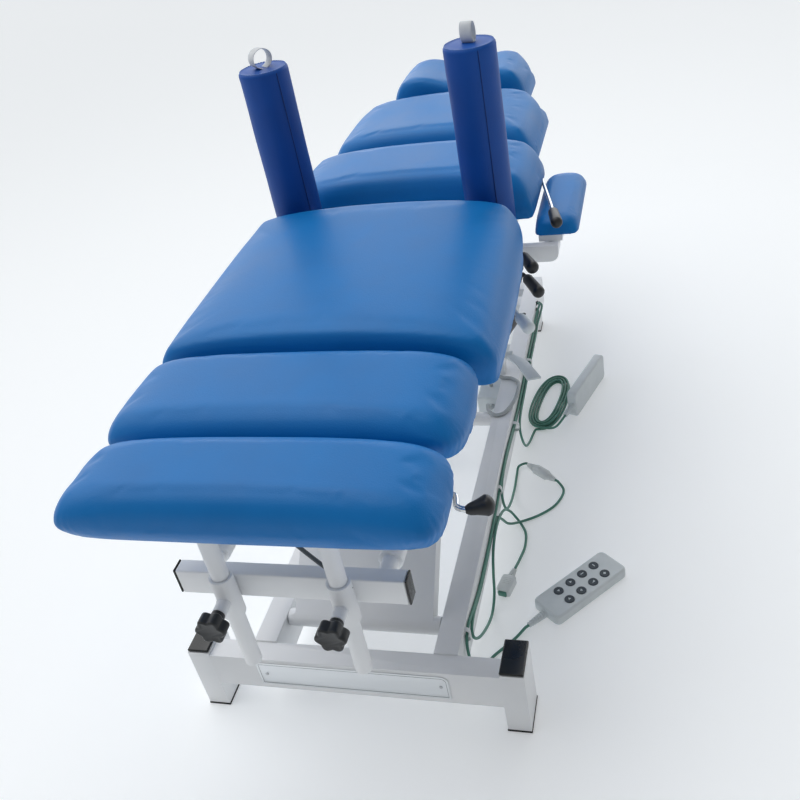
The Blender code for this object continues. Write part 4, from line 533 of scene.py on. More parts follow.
def makeCords():
    # Both handsets' cords run on inside their cases, to the circuit board
    inside = (-0.151, -0.1425, -0.095, -0.040, 0.005)
    handsetRoute = [
        (0.1963, 1.272, 0.146), (face + 0.002, 1.272, 0.146), (face + 0.006, 1.262, 0.1455),
        (face + 0.002, 1.240, 0.140), (face, 1.200, 0.132), (face, 1.147, 0.1255),
        (face, 1.010, 0.1225), (face, 0.880, 0.1155), (face, 0.760, 0.1185), (face, 0.620, 0.131),
        (face, 0.530, 0.1265), (face, 0.480, 0.118), (face, 0.400, 0.114), (face, 0.310, 0.112),
        (face, 0.230, 0.1145), (face, 0.190, 0.121), (face, 0.150, 0.130), (face, 0.115, 0.136),
        (face + 0.001, 0.090, 0.124), (face + 0.003, 0.082, 0.095), (face + 0.005, 0.088, 0.055),
        (face + 0.008, 0.104, 0.022), (face + 0.014, 0.130, 0.0055), (0.224, 0.158, low),
        (0.244, 0.184, low), (0.262, 0.206, 0.0050),
    ]
    points = [placed(*p) for p in handsetRoute] + [near(handsetPlace, d) for d in inside]
    freeCord("handset_lead_cord", points,
             ("handset_cord",))
    hankRoute = [
        (0.1963, 1.288, 0.139), (face + 0.003, 1.288, 0.139), (second + 0.004, 1.276, 0.1355),
        (second + 0.003, 1.240, 0.1305), (second, 1.200, 0.125), (second, 1.147, 0.120),
        (second, 1.010, 0.118), (second, 0.880, 0.111), (second + 0.001, 0.800, 0.110),
        (second + 0.003, 0.762, 0.098), (second + 0.006, 0.762, 0.060),
        (second + 0.008, 0.785, 0.025), (second + 0.010, 0.822, 0.0065), (0.221, 0.860, low),
    ]
    turns = hankLoops()
    heading = (turns[1] - turns[0]).normalized()
    points = [placed(*p) for p in hankRoute] + [turns[0] - heading * 0.009] + turns
    points += [placed(0.262, 0.872, 0.0125), placed(0.281, 0.866, 0.024)]
    points += [near(sparePlace, d) for d in inside]
    freeCord("hanked_cord", points,
             ("hank_lead", "cord_hank"))
    linkRoute = [
        (0.1963, 1.258, 0.134), (face + 0.0015, 1.258, 0.134), (face + 0.0035, 1.248, 0.133),
        (face, 1.200, 0.1245), (face, 1.147, 0.1185), (face, 1.010, 0.1155),
        (face, 0.880, 0.1085), (face, 0.760, 0.1115), (face, 0.620, 0.1235), (face, 0.560, 0.1215),
        (face + 0.001, 0.525, 0.110), (face + 0.003, 0.515, 0.080), (face + 0.004, 0.535, 0.045),
        (face + 0.003, 0.590, 0.016), (face + 0.002, 0.650, 0.0045), (0.200, 0.700, low),
        (0.201, 0.728, 0.0060),
    ]
    points = [placed(*p) for p in linkRoute] + [near(connectorPlace, d) for d in (-0.053, -0.0445)]
    freeCord("connector_cord", points,
             ("link_cord",))
    plugRoute = [
        (0.3165, 0.645, low), (0.303, 0.598, low), (0.271, 0.563, low), (0.232, 0.536, 0.0060),
        (0.210, 0.505, 0.028), (face + 0.003, 0.475, 0.070), (face, 0.445, 0.100),
        (face, 0.400, 0.1065), (face, 0.310, 0.1045), (face, 0.230, 0.1065), (face, 0.165, 0.1165),
        (face + 0.002, 0.130, 0.114), (face + 0.005, 0.124, 0.098), (0.2065, 0.150, 0.068),
        (0.2065, 0.205, 0.030), (0.2065, 0.262, 0.0060), (0.2065, 0.303, 0.020),
        (0.2065, 0.322, 0.060), (second + 0.001, 0.345, 0.096), (second, 0.390, 0.109),
        (second + 0.001, 0.440, 0.106), (second + 0.003, 0.487, 0.085),
        (second + 0.006, 0.522, 0.050), (0.218, 0.540, 0.018), (0.233, 0.528, 0.0040),
        (0.246, 0.500, low), (0.249, 0.460, low), (0.244, 0.425, 0.0050),
    ]
    points = [near(connectorPlace, d) for d in (0.0453, 0.053)] + [placed(*p) for p in plugRoute]
    points += [near(plugPlace, d) for d in (0.055, 0.0473)]
    freeCord("plug_lead_cord", points,
             ("plug_cord",))
    motorRoute = [
        (0.122, 0.900, 0.1253), (0.122, 0.900, 0.150), (0.132, 0.896, 0.166),
        (0.155, 0.893, 0.1558), (0.178, 0.890, 0.1548), (0.1985, 0.868, 0.1558),
        (0.2015, 0.838, 0.1563), (0.196, 0.790, 0.1548), (0.180, 0.748, 0.1548),
        (0.160, 0.738, 0.1548), (0.143, 0.752, 0.1568), (0.134, 0.785, 0.150),
        (0.132, 0.815, 0.118), (0.131, 0.842, 0.102), (0.131, 0.8497, 0.102),
    ]
    freeCord("motor_loop_cable", [placed(*p) for p in motorRoute],
             ("motor_cable",), 0.0045, cableJacket)


# The hank: long turns that spiral in on the floor, climb, and spiral out on top
hankSetup = {"x": 0.250, "y": 0.995, "angle": radians(-8), "count": 6, "steps": 20, "half": 0.026,
             "halfLong": 0.090, "spread": 0.0088, "pinch": 0.15, "rise": 0.0074}


def hankLoops():
    h = hankSetup
    c, s = cos(h["angle"]), sin(h["angle"])
    made = []
    for i in range(h["count"] * h["steps"] + 1):
        loop = i / h["steps"]
        out = h["spread"] * abs(loop - h["count"] / 2)
        turn = 2 * pi * loop
        x = (h["half"] + out) * sin(turn) * (1 - h["pinch"] * sin(turn) ** 2)
        y = -(h["halfLong"] + out) * cos(turn)
        climb = h["rise"] * min(max((loop - h["count"] / 2 + 0.25) / 0.5, 0), 1)
        made.append(placed(h["x"] + c * x - s * y, h["y"] + s * x + c * y, low + climb))
    return made


def ribbedBoot(start, direction, length, wide, narrow, ribs=6):
    # A tapered strain relief with rings cut round it
    profile = [(0, 0), (wide, 0)]
    for i in range(ribs):
        # Each ring is a full step and a cut between two
        for share, scale in ((0.10, 1), (0.56, 1), (0.62, 0.72), (0.99, 0.72)):
            at = (i + share) / ribs * 0.9
            profile.append(((wide + (narrow - wide) * at) * scale, at * length))
    profile += [(narrow, length * 0.92), (narrow, length * 0.98), (narrow * 0.8, length),
                (0, length)]
    return turnedPiece(profile, start, direction, 24)


# Handsets: a rounded case with eight dished buttons
caseSetup = {"corner": 0.0125, "edge": 0.0045, "border": 0.003, "lip": 0.0006}
buttonSetup = {"radius": 0.0100, "pitch": 0.0328, "rowPitch": 0.0314, "shift": 0.0046,
               "height": 0.0045, "proud": 0.0018, "pocket": 0.0050}


def buttonPlaces():
    b = buttonSetup
    return [(b["shift"] + (column - 1.5) * b["pitch"], (row - 0.5) * b["rowPitch"])
            for row in range(2) for column in range(4)]


def handsetCase():
    # Made flat at the origin, centre plane at zero, with the cord's boot towards -X
    length, width, thick = handsetPlace["size"]
    c = caseSetup
    case = roundedCase(handsetPlace["size"], c["corner"], 8)
    dish(case, lambda f: f.normal.z > 0.9, c["edge"], (0, 0, c["lip"]))
    bevelSharp(case, c["edge"], 4)
    dish(case, lambda f: f.normal.z > 0.99 and f.calc_area() > length * width / 2, c["border"],
         (0, 0, -c["lip"]))
    cutters = []
    for x, y in buttonPlaces():
        depth = buttonSetup["pocket"] + 0.002
        bpy.ops.mesh.primitive_cylinder_add(
            vertices=32, radius=buttonSetup["radius"] + 0.0006, depth=depth,
            location=(x, y, thick / 2 + 0.002 - depth / 2),
        )
        cutters.append(settle(bpy.context.object))
    cutter = joined(*cutters)
    applied(case, "BOOLEAN", solver="EXACT", object=cutter)
    bpy.data.objects.remove(cutter, do_unlink=True)
    boot = ribbedBoot((-length / 2 + 0.001, 0, 0), (-1, 0, 0), handsetPlace["boot"], 0.0088, 0.0060,
                      7)
    return smoothed(joined(case, boot), 30)


def buttonCap(x, y, symbol):
    # A dished cap with a pale symbol, made round its place on the flat case
    radius, top = buttonSetup["radius"], handsetPlace["size"][2] / 2 + buttonSetup["proud"]
    profile = [(0, -buttonSetup["height"]), (radius, -buttonSetup["height"]), (radius, -0.0009),
               (radius * 0.95, -0.0002), (radius * 0.85, 0), (radius * 0.6, -0.0005),
               (0, -0.0008)]
    cap = painted(turnedPiece(profile, (x, y, top), (0, 0, 1)), buttonRubber)
    shapes = {
        "up": [(-3.2, -1.6), (3.2, -1.6), (0, 3.4)],
        "down": [(-3.2, 1.6), (0, -3.4), (3.2, 1.6)],
        "left": [(1.6, -3.2), (1.6, 3.2), (-3.4, 0)],
        "right": [(-1.6, -3.2), (3.4, 0), (-1.6, 3.2)],
        "bar": [(-3.6, -1.0), (3.6, -1.0), (3.6, 1.0), (-3.6, 1.0)],
        "post": [(-1.0, -3.6), (1.0, -3.6), (1.0, 3.6), (-1.0, 3.6)],
        "diamond": [(0, -3.4), (3.4, 0), (0, 3.4), (-3.4, 0)],
        "wedge": [(-3.6, -2.2), (3.6, -2.2), (3.6, 2.4)],
    }
    flat = [(px / 1000, py / 1000, 0) for px, py in shapes[symbol]]
    mark = meshPiece("symbol", flat, [], [tuple(range(len(flat)))])
    applied(mark, "SOLIDIFY", thickness=0.0005, offset=0)
    mark.location = (x, y, top - 0.0005)
    settle(mark)
    painted(mark, printInk)
    return smoothed(joined(cap, mark), 40)


def laid(thing, turn, place):
    thing.data.transform(Matrix.Translation(place) @ turn)
    return thing


def makeHandsets():
    case = handsetCase()
    symbols = ("up", "left", "wedge", "diamond", "down", "right", "bar", "post")
    caps = [buttonCap(x, y, symbol) for (x, y), symbol in zip(buttonPlaces(), symbols)]
    # The second handset stands on its long edge
    spareTurn = Matrix.Rotation(sparePlace["angle"], 4, "Z") @ Matrix.Rotation(-pi / 2, 4, "X")
    spareParts = [painted(ownCopy(case, "spare"), greyPlastic)]
    spareParts += [ownCopy(cap, "spareCap") for cap in caps]
    for part in spareParts:
        laid(part, spareTurn, near(sparePlace, 0))
    spare = dress(joined(*spareParts), "second_handset", "base", None,
                  ("spare_handset",))
    turn = Matrix.Rotation(handsetPlace["angle"], 4, "Z")
    point = near(handsetPlace, 0)
    laid(case, turn, point)
    dress(case, "handset_case", "base", greyPlastic, ("handset",))
    for number, cap in enumerate(caps, 1):
        laid(cap, turn, point)
        dress(cap, f"button_cap_{number}", f"button_{number}", None,
              (f"handset_button_{number}",))
    return [case, *caps], [spare]


def gripRings(start, wide, change):
    # Four raised rings along a neck that widens or narrows
    ring = ((0, 0), (0.0008, 0.0004), (0.0008, 0.0024), (0, 0.0028))
    return [(wide + i * change + out, start + i * 0.0045 + on)
            for i in range(4) for out, on in ring]


def makeConnector():
    half, radius = connectorPlace["half"], connectorPlace["radius"]
    profile = [(0, -half), (0.0046, -half), (0.005, -half + 0.001)]
    profile += gripRings(-half + 0.004, 0.0052, 0.0010)
    profile += [(0.0098, -half + 0.023), (radius, -half + 0.028), (radius, -0.004),
                (radius * 0.93, -0.0034), (radius * 0.93, -0.0022), (radius, -0.0016),
                (radius, half - 0.028), (0.0098, half - 0.023)]
    profile += gripRings(half - 0.0212, 0.0082, -0.0010)
    profile += [(0.005, half - 0.002), (0.0046, half), (0, half)]
    angle = connectorPlace["angle"]
    made = turnedPiece(profile, near(connectorPlace, 0), (cos(angle), sin(angle), 0))
    return dress(smoothed(made), "cord_connector", "base", lightPlastic,
                 ("inline_connector",))


def makePlug():
    p = plugPlace
    length, width, thick = p["size"]
    case = roundedCase(p["size"], p["corner"], 5)
    bevelSharp(case, p["edge"], 3)
    # Grip ribs across the top, and the coloured collar at the free end
    ribs = []
    for i in range(4):
        x = p["ribStart"] + i * p["ribPitch"]
        rib = plainBox((p["rib"], width * 0.62, 0.002), (x, 0, thick / 2 - 0.0004))
        ribs.append(bevelSharp(rib, 0.0006))
    boot = ribbedBoot((length / 2 - 0.001, 0, 0), (1, 0, 0), p["boot"], 0.0078, 0.0056, 5)
    body = painted(joined(case, *ribs, boot), lightPlastic)
    tip = plainBox((0.005, width * 0.6, thick * 0.6), (-length / 2 - 0.0015, 0, 0))
    tip = painted(bevelSharp(tip, 0.0012), cordJacket)
    made = smoothed(joined(body, tip))
    laid(made, Matrix.Rotation(p["angle"], 4, "Z"), near(p, 0))
    return dress(made, "cord_plug", "base", None, ("plug",))


handsetPieces, sparePieces = makeHandsets()
connector = makeConnector()
plug = makePlug()
makeCords()
print("handsets and cords made")

# Steelwork: merged copies of the nodes, as node, piece, body, finish, slot, edge and segments
steelRows = [
    ("base_frame", "base_frame_coated", "base", whiteSteel, "white_paint", 0.0022, 2),
    ("lift_arm_front", "lift_arm_front_coated", "front_arm", whiteSteel, "white_paint", 0.0012, 2),
    ("lift_arm_rear", "lift_arm_rear_coated", "rear_arm", whiteSteel, "white_paint", 0.0012, 2),
    ("top_frame", "top_frame_coated", "top", whiteSteel, "white_paint", 0.0014, 2),
    ("leg_frame", "leg_frame_coated", "leg_section", whiteSteel, "white_paint", 0.0014, 2),
    ("armrest_arm", "armrest_arm_coated", "armrest", whiteSteel, "white_paint", 0.0012, 2),
    ("actuator_body", "actuator_housing", "actuator", greyPlastic, "grey_plastic", 0.0018, 2),
    ("actuator_rod", "actuator_piston", "screw_rod", chrome, "chrome", 0.0006, 2),
    ("control_box", "control_case", "base", greyPlastic, "grey_plastic", 0.002, 2),
    ("foot_pedal", "pedal_plate", "pedal", greyPlastic, "grey_plastic", 0.0014, 2),
]
for word in ("left", "right"):
    steelRows += [
        (f"leg_cap_{word}", f"leg_cover_{word}", "base", glossBlack, "black_plastic", 0.0012, 3),
        (f"foot_pad_front_{word}", f"front_pad_{word}", "base", footRubber, "black_rubber",
         0.0008, 2),
        (f"foot_pad_rear_{word}", f"rear_pad_{word}", "base", footRubber, "black_rubber",
         0.0008, 2),
        (f"bracket_cap_{word}", f"bar_end_{word}", "foot_slide", glossBlack, "black_plastic",
         0.001, 3),
    ]
for row in steelRows:
    softEdged(*row)
for node in ("pelvic_plate", "lumbar_plate", "thoracic_plate", "head_plate"):
    painted(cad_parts[node], plywood)
print("steelwork made")

# Name plate: bare, with an etched line near its edge and two domed rivets
plateSetup = {"half": 0.183, "low": 0.078, "top": 0.137, "corner": 0.014, "front": -0.0010,
              "inset": 0.0045, "line": 0.0004}


def makeNamePlate():
    p = plateSetup
    softEdged("name_plate", "bare_name_plate", "base", brushedPlate, "brushed_plate", 0.0004)
    i = p["inset"]
    right, top, radius = p["half"] - i, p["top"] - i, p["corner"] - i
    corners = [(-right, p["low"] + i), (right, p["low"] + i)]
    corners += [(right - radius + radius * cos(a), top - radius + radius * sin(a))
                for a in np.linspace(0, pi / 2, 7)]
    corners.append((-right, top))
    data = bpy.data.curves.new("etchedLine", "CURVE")
    data.dimensions = "3D"
    data.bevel_depth = p["line"]
    data.bevel_resolution = 1
    spline = data.splines.new("POLY")
    spline.points.add(len(corners) - 1)
    for (x, z), knot in zip(corners, spline.points):
        knot.co = (*placed(x, p["front"], z), 1)
    spline.use_cyclic_u = True
    line = linked("etchedLine", data)
    choose(line)
    bpy.ops.object.convert(target="MESH")
    dress(line, "plate_outline", "base", plateInk)
    dome = [(0, -0.001), (0.0035, -0.001), (0.0035, 0.0004), (0.0028, 0.0014), (0.0015, 0.0019),
            (0, 0.002)]
    for x, z, word in ((-0.166, 0.108, "left"), (0.168, 0.110, "right")):
        rivet = turnedPiece(dome, placed(x, p["front"], z), (0, -1, 0), 20)
        dress(smoothed(rivet), f"plate_rivet_{word}", "base", zincSteel)


makeNamePlate()

# Foot bracket: the bar, its post sleeves, clamp bosses and slide tubes, welded together
bracketSetup = {"half": 0.1875, "front": -0.095, "back": -0.068, "low": 0.426, "top": 0.475,
                "tubeX": 0.147, "tubeZ": 0.4505, "tube": 0.0135, "tubeEnd": 0.200,
                "bossEnd": -0.152, "boss": 0.011, "bead": 0.0013}
postSetup = {"x": 0.095, "y": -0.1135, "radius": 0.014, "low": 0.296, "plate": 0.6067,
             "sleeve": 0.0188, "sleeveLow": 0.410, "sleeveTop": 0.490, "bossZ": 0.447,
             "board": 0.150, "boardFront": -0.150, "boardBack": -0.070, "boardTop": 0.6217,
             "collar": 0.021}


def weldBead(place, direction, radius):
    bpy.ops.mesh.primitive_torus_add(
        major_radius=radius, minor_radius=bracketSetup["bead"], major_segments=40, minor_segments=8,
        location=place, rotation=Vector(direction).to_track_quat("Z", "Y").to_euler(),
    )
    bead = settle(bpy.context.object)
    # The bead's ripples
    for vert in bead.data.vertices:
        vert.co += vert.normal * 0.0003 * noise.noise(vert.co * 600)
    return bead


def upright(x, low, high, radius, edge=0.001):
    # A round bar along a post's line
    return roundBar(placed(x, postSetup["y"], low), placed(x, postSetup["y"], high), radius, edge)


def makeFootBracket():
    b, p = bracketSetup, postSetup
    parts = [block((-b["half"], b["half"]), (b["front"], b["back"]), (b["low"], b["top"]),
                   0.003, 3)]
    for side in (-1, 1):
        x = side * p["x"]
        sleeve = upright(x, p["sleeveLow"], p["sleeveTop"], p["sleeve"])
        # The sleeve's ends are dished round the post
        pick(sleeve, "FACE", lambda f: abs(f.normal.z) > 0.99 and f.calc_area() > 0.0005)
        bpy.ops.mesh.inset(thickness=p["sleeve"] - p["radius"] - 0.0016, use_individual=True)
        leaveEdit()
        pick(sleeve, "FACE", lambda f: abs(f.normal.z) > 0.99 and f.calc_area() > 0.0005)
        bpy.ops.mesh.extrude_region_shrink_fatten(
            TRANSFORM_OT_shrink_fatten={"value": -0.003})
        leaveEdit()
        parts.append(sleeve)
        parts.append(roundBar(placed(x, p["y"], p["bossZ"]), placed(x, b["bossEnd"], p["bossZ"]),
                              b["boss"]))
        parts.append(weldBead(placed(x, p["y"] - p["sleeve"] + 0.001, p["bossZ"]), (0, 1, 0),
                              0.0112))
        tubeX = side * b["tubeX"]
        parts.append(roundBar(placed(tubeX, b["back"] - 0.001, b["tubeZ"]),
                              placed(tubeX, b["tubeEnd"], b["tubeZ"]), b["tube"]))
        parts.append(weldBead(placed(tubeX, b["back"], b["tubeZ"]), (0, 1, 0),
                              b["tube"] + 0.0002))
    dress(smoothed(joined(*parts)), "foot_bracket_weldment", "foot_slide", whiteSteel,
          ("foot_bracket",))


def makeFootPosts():
    p = postSetup
    parts = [block((-p["board"], p["board"]), (p["boardFront"], p["boardBack"]),
                   (p["plate"], p["boardTop"]), 0.002)]
    for side in (-1, 1):
        x = side * p["x"]
        parts.append(upright(x, p["low"], p["plate"] + 0.001, p["radius"], 0.0018))
        parts.append(weldBead(placed(x, p["y"], p["plate"]), (0, 0, 1), p["radius"] + 0.0002))
        parts.append(upright(x, p["plate"] - 0.006, p["plate"], p["collar"]))
    dress(smoothed(joined(*parts)), "foot_post_pair", "foot_section", whiteSteel,
          ("foot_posts",))


makeFootBracket()
makeFootPosts()

# Star knobs: six lobes with a dished face, a hub and a plated stud
knobSetup = {"radius": 0.025, "lobes": 6, "thick": 0.022, "hubFront": -0.1523, "hub": 0.011,
             "hubLength": 0.014, "stud": 0.005, "studBack": -0.128, "studFront": -0.151,
             "waist": 0.80, "edge": 0.0055, "rim": 0.003, "dish": 0.0012}


def makeStarKnob():
    k = knobSetup
    front = k["hubFront"] - k["hubLength"] - k["thick"]
    x, z = -postSetup["x"], postSetup["bossZ"]
    middle = placed(x, front + k["thick"] / 2, z)
    bpy.ops.mesh.primitive_cylinder_add(vertices=96, radius=k["radius"], depth=k["thick"],
                                        location=middle, rotation=(pi / 2, 0, 0))
    star = settle(bpy.context.object)
    for vert in star.data.vertices:
        turn = atan2(vert.co.z - middle.z, vert.co.x - middle.x)
        wave = (0.5 + 0.5 * cos(k["lobes"] * turn)) ** 0.7
        share = k["waist"] + (1 - k["waist"]) * wave
        vert.co.x = middle.x + (vert.co.x - middle.x) * share
        vert.co.z = middle.z + (vert.co.z - middle.z) * share
    bevelSharp(star, k["edge"], 5, 60)
    # The front face is dished round its middle
    dish(star, lambda f: f.normal.y < -0.99 and f.calc_area() > 0.0003, k["rim"],
         (0, k["dish"], 0))
    hub = roundBar(placed(x, k["hubFront"], z),
                   placed(x, k["hubFront"] - k["hubLength"] - 0.001, z), k["hub"], 0.0012)
    star = painted(joined(star, hub), blackPlastic)
    stud = painted(roundBar(placed(x, k["studBack"], z), placed(x, k["studFront"], z), k["stud"]),
                   zincSteel)
    return smoothed(joined(star, stud), 40)


knob = makeStarKnob()
twin = ownCopy(knob, "twin")
twin.data.transform(Matrix.Translation((2 * postSetup["x"], 0, 0)))
dress(knob, "lobed_knob_left", "knob_left", None, ("star_knob_left",))
dress(twin, "lobed_knob_right", "knob_right", None, ("star_knob_right",))
# A dark cable from the board down to the right post's sleeve
cable = bentBar([placed(x, y, z) for x, y, z in (
    (0.012, -0.098, 0.609), (0.014, -0.098, 0.585), (0.036, -0.096, 0.546), (0.068, -0.098, 0.508),
    (0.094, -0.102, 0.486), (0.112, -0.1125, 0.474))], 0.0034, 4)
dress(cable, "post_cable", None, darkJacket)
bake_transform(cable)
print("foot bracket and knobs made")

# Cushions from the foot end to the head end. Columns and rows place the cage's lines, as shares
# of the half width and half length. Crown, arch, valley and tilt shape the top, taper narrows
# the head end, and tuck draws the bottom in, at the sides by the share called side
cushionRows = (
    {"name": "foot", "body": "foot_section", "half": 0.286, "start": -0.196, "length": 0.172,
     "low": 0.6220, "height": 0.090, "crown": 0.032, "tuck": 0.020,
     "corners": (0.038, 0.050), "rows": (0, 0.62, 1), "gather": 1.3},
    {"name": "calf", "body": "leg_section", "half": 0.291, "start": -0.018, "length": 0.214,
     "middle": -0.008, "low": 0.6220, "height": 0.090, "crown": 0.032, "tuck": 0.020,
     "corners": (0.048, 0.048), "rows": (0, 0.62, 1), "gather": 0.7},
    {"name": "pelvic", "body": "pelvic_section", "half": 0.300, "start": 0.202, "length": 0.494,
     "corners": (0.030, 0.050), "rows": (0, 0.5, 0.92, 1), "gather": 0.35, "arch": 0.012,
     "tilt": 0.010, "taper": 0.025, "end": 0.45, "tuck": 0.007, "side": 0.9},
    {"name": "lumbar", "body": "lumbar_section", "half": 0.285, "start": 0.825, "length": 0.263,
     "corners": (0.045, 0.045), "rows": (0, 0.5, 0.82, 1), "gather": 0.4, "arch": 0.006},
    {"name": "thoracic", "body": "thoracic_section", "half": 0.258, "start": 1.102,
     "length": 0.353, "corners": (0.045, 0.095), "rows": (0, 0.5, 0.85, 1), "gather": 0.4,
     "arch": 0.006},
    {"name": "head", "body": "head_section", "half": 0.188, "start": 1.475, "length": 0.237,
     "corners": (0.045, 0.070), "rows": (0, 0.5, 0.82, 1), "gather": 0.4, "rise": 0.022,
     "valley": 0.034, "middle": 0.006, "end": 0.5, "columns": (0, 0.30, 0.62, 0.9, 1)},
    {"name": "armrest", "body": "armrest", "half": 0.0475, "start": 0.820, "length": 0.280,
     "corners": (0.034, 0.034), "rows": (0, 0.5, 0.82, 1), "gather": 0.0, "middle": 0.3275,
     "swell": 0.4, "low": 0.5696, "height": 0.033, "crown": 0.003, "columns": (0, 0.55, 1)},
)
cushionSetup = {"low": 0.6063, "height": 0.1057, "walls": (0.0, 0.004, 0.022),
                "tuck": -0.003, "side": 0.3, "crown": 0.030,
                "valleyWidth": 0.060, "board": 0.3, "voxel": 0.006, "pressure": 4.0,
                "frames": 20, "cap": 0.0022, "swell": 0.0015, "reach": 0.055, "gather": 0.0016}


def foamForm(row):
    # A cube cut into cells and drawn to the foam's form, then smoothed
    c = cushionSetup
    columns, rows = row.get("columns", (0, 0.37, 0.74, 0.92, 1)), row["rows"]
    height = row.get("height", c["height"])
    crown, valley = row.get("crown", c["crown"]), row.get("valley", 0)
    halfLength = row["length"] / 2
    bm = bmesh.new()
    bmesh.ops.create_cube(bm, size=2)
    for axis, cuts in ((0, 2 * len(columns) - 3), (1, 2 * len(rows) - 3), (2, 3)):
        across = [e for e in bm.edges if abs((e.verts[0].co - e.verts[1].co)[axis]) > 1]
        bmesh.ops.subdivide_edges(bm, edges=across, cuts=cuts, use_grid_fill=True)
    crease = bm.edges.layers.float.new("crease_edge")
    for edge in bm.edges:
        atFloor = all(v.co.z < -0.99 for v in edge.verts)
        if atFloor and len([f for f in edge.link_faces if abs(f.normal.z) > 0.5]) == 1:
            edge[crease] = 1.0
    for vert in bm.verts:
        u, v, w = vert.co
        if w < -0.4:
            # The whole tuck at the bottom, and 0.3 of it in the row above
            inset = row.get("tuck", c["tuck"]) * (-1.4 * w - 0.4)
            sideInset = inset * row.get("side", c["side"])
        else:
            inset = sideInset = c["walls"][round(w * 2)] * (0.6 if "swell" in row else 1)
        x = abs(np.sign(u)) * columns[round(abs(u) * (len(columns) - 1))]
        x *= row["half"] - sideInset
        endInset = inset * (row.get("end", 1) if w > 0 else 1)
        y = abs(np.sign(v)) * rows[round(abs(v) * (len(rows) - 1))] * (halfLength - endInset)
        radius = row["corners"][0] if v < 0 else row["corners"][1]
        if w < -0.4 and "tuck" not in row:
            # The board's square corners stay inside the cover
            radius *= c["board"]
        into = (x - (row["half"] - sideInset - radius), y - (halfLength - endInset - radius))
        if min(into) > 0:
            pull = max(into) / np.hypot(*into)
            x += into[0] * (pull - 1)
            y += into[1] * (pull - 1)
        x *= 1 - row.get("taper", 0) * (v + 1)
        z = (w + 1) / 2 * height
        if w > -0.5:
            z += row.get("arch", 0) * max(w, 0) * (1 - (x / row["half"]) ** 2)
            z += row.get("tilt", 0) * max(w, 0) * v
            z -= crown * (w + 1) / 2 * (x / row["half"]) ** 5
            z -= valley * (w + 1) / 2 * np.exp(-((x / c["valleyWidth"]) ** 2))
        vert.co = (x * np.sign(u), y * np.sign(v), z)
    mesh = bpy.data.meshes.new(row["name"])
    bm.to_mesh(mesh)
    bm.free()
    thing = linked(row["name"], mesh)
    return applied(thing, "SUBSURF", levels=4, render_levels=4)


def meshPoints(thing):
    points = np.empty(len(thing.data.vertices) * 3)
    thing.data.vertices.foreach_get("co", points)
    return points.reshape(-1, 3)


def setPoints(thing, points):
    thing.data.vertices.foreach_set("co", points.ravel())
    thing.data.update()


def fitted(thing, row, shrink):
    # Drawn to the solid's box, less what it will swell
    middle, base = row.get("middle", 0), row.get("low", cushionSetup["low"]) + row.get("rise", 0)
    height = row.get("height", cushionSetup["height"])
    lowest = np.array(placed(middle - row["half"] + shrink, row["start"] + shrink, base))
    highest = np.array(placed(middle + row["half"] - shrink, row["start"] + row["length"] - shrink,
                              base + height + row.get("arch", 0) + row.get("tilt", 0)
                              - shrink * 1.5))
    points = meshPoints(thing)
    scale = (highest - lowest) / (points.max(0) - points.min(0))
    setPoints(thing, (points - points.min(0)) * scale + lowest)
    return thing


def gathered(thing, row):
    # Small gathers where the cover is pulled round the lower corners
    points = meshPoints(thing)
    normals = np.empty(len(points) * 3)
    thing.data.vertices.foreach_get("normal", normals)
    normals = normals.reshape(-1, 3)
    low, high = points.min(0), points.max(0)
    height = (points[:, 2] - low[2]) / (high[2] - low[2])
    moved = np.zeros(len(points))
    reach = cushionSetup["reach"]
    for cornerX, side in ((low[0], 1), (high[0], -1)):
        for cornerY, towards in ((low[1], 1), (high[1], -1)):
            centre = (cornerX + side * reach, cornerY + towards * reach)
            across = points[:, 0] - centre[0]
            deep = points[:, 1] - centre[1]
            angle = np.arctan2(-deep * towards, -across * side)
            near = np.exp(-((angle - pi / 4) / 0.75) ** 2)
            outside = np.clip(np.hypot(across, deep) / reach - 0.4, 0, 1)
            fall = np.clip(1 - height * 1.35, 0, 1) ** 1.4 * np.clip(height * 10, 0.25, 1)
            ripple = np.sin(angle * 17 + 2.2 * np.sin(angle * 5 + cornerX * 9))
            ripple += 0.5 * np.sin(angle * 31 + height * 5 + cornerY * 7)
            moved += ripple * near * outside * fall
    setPoints(thing, points + normals * (moved * cushionSetup["gather"] * row["gather"])[:, None])


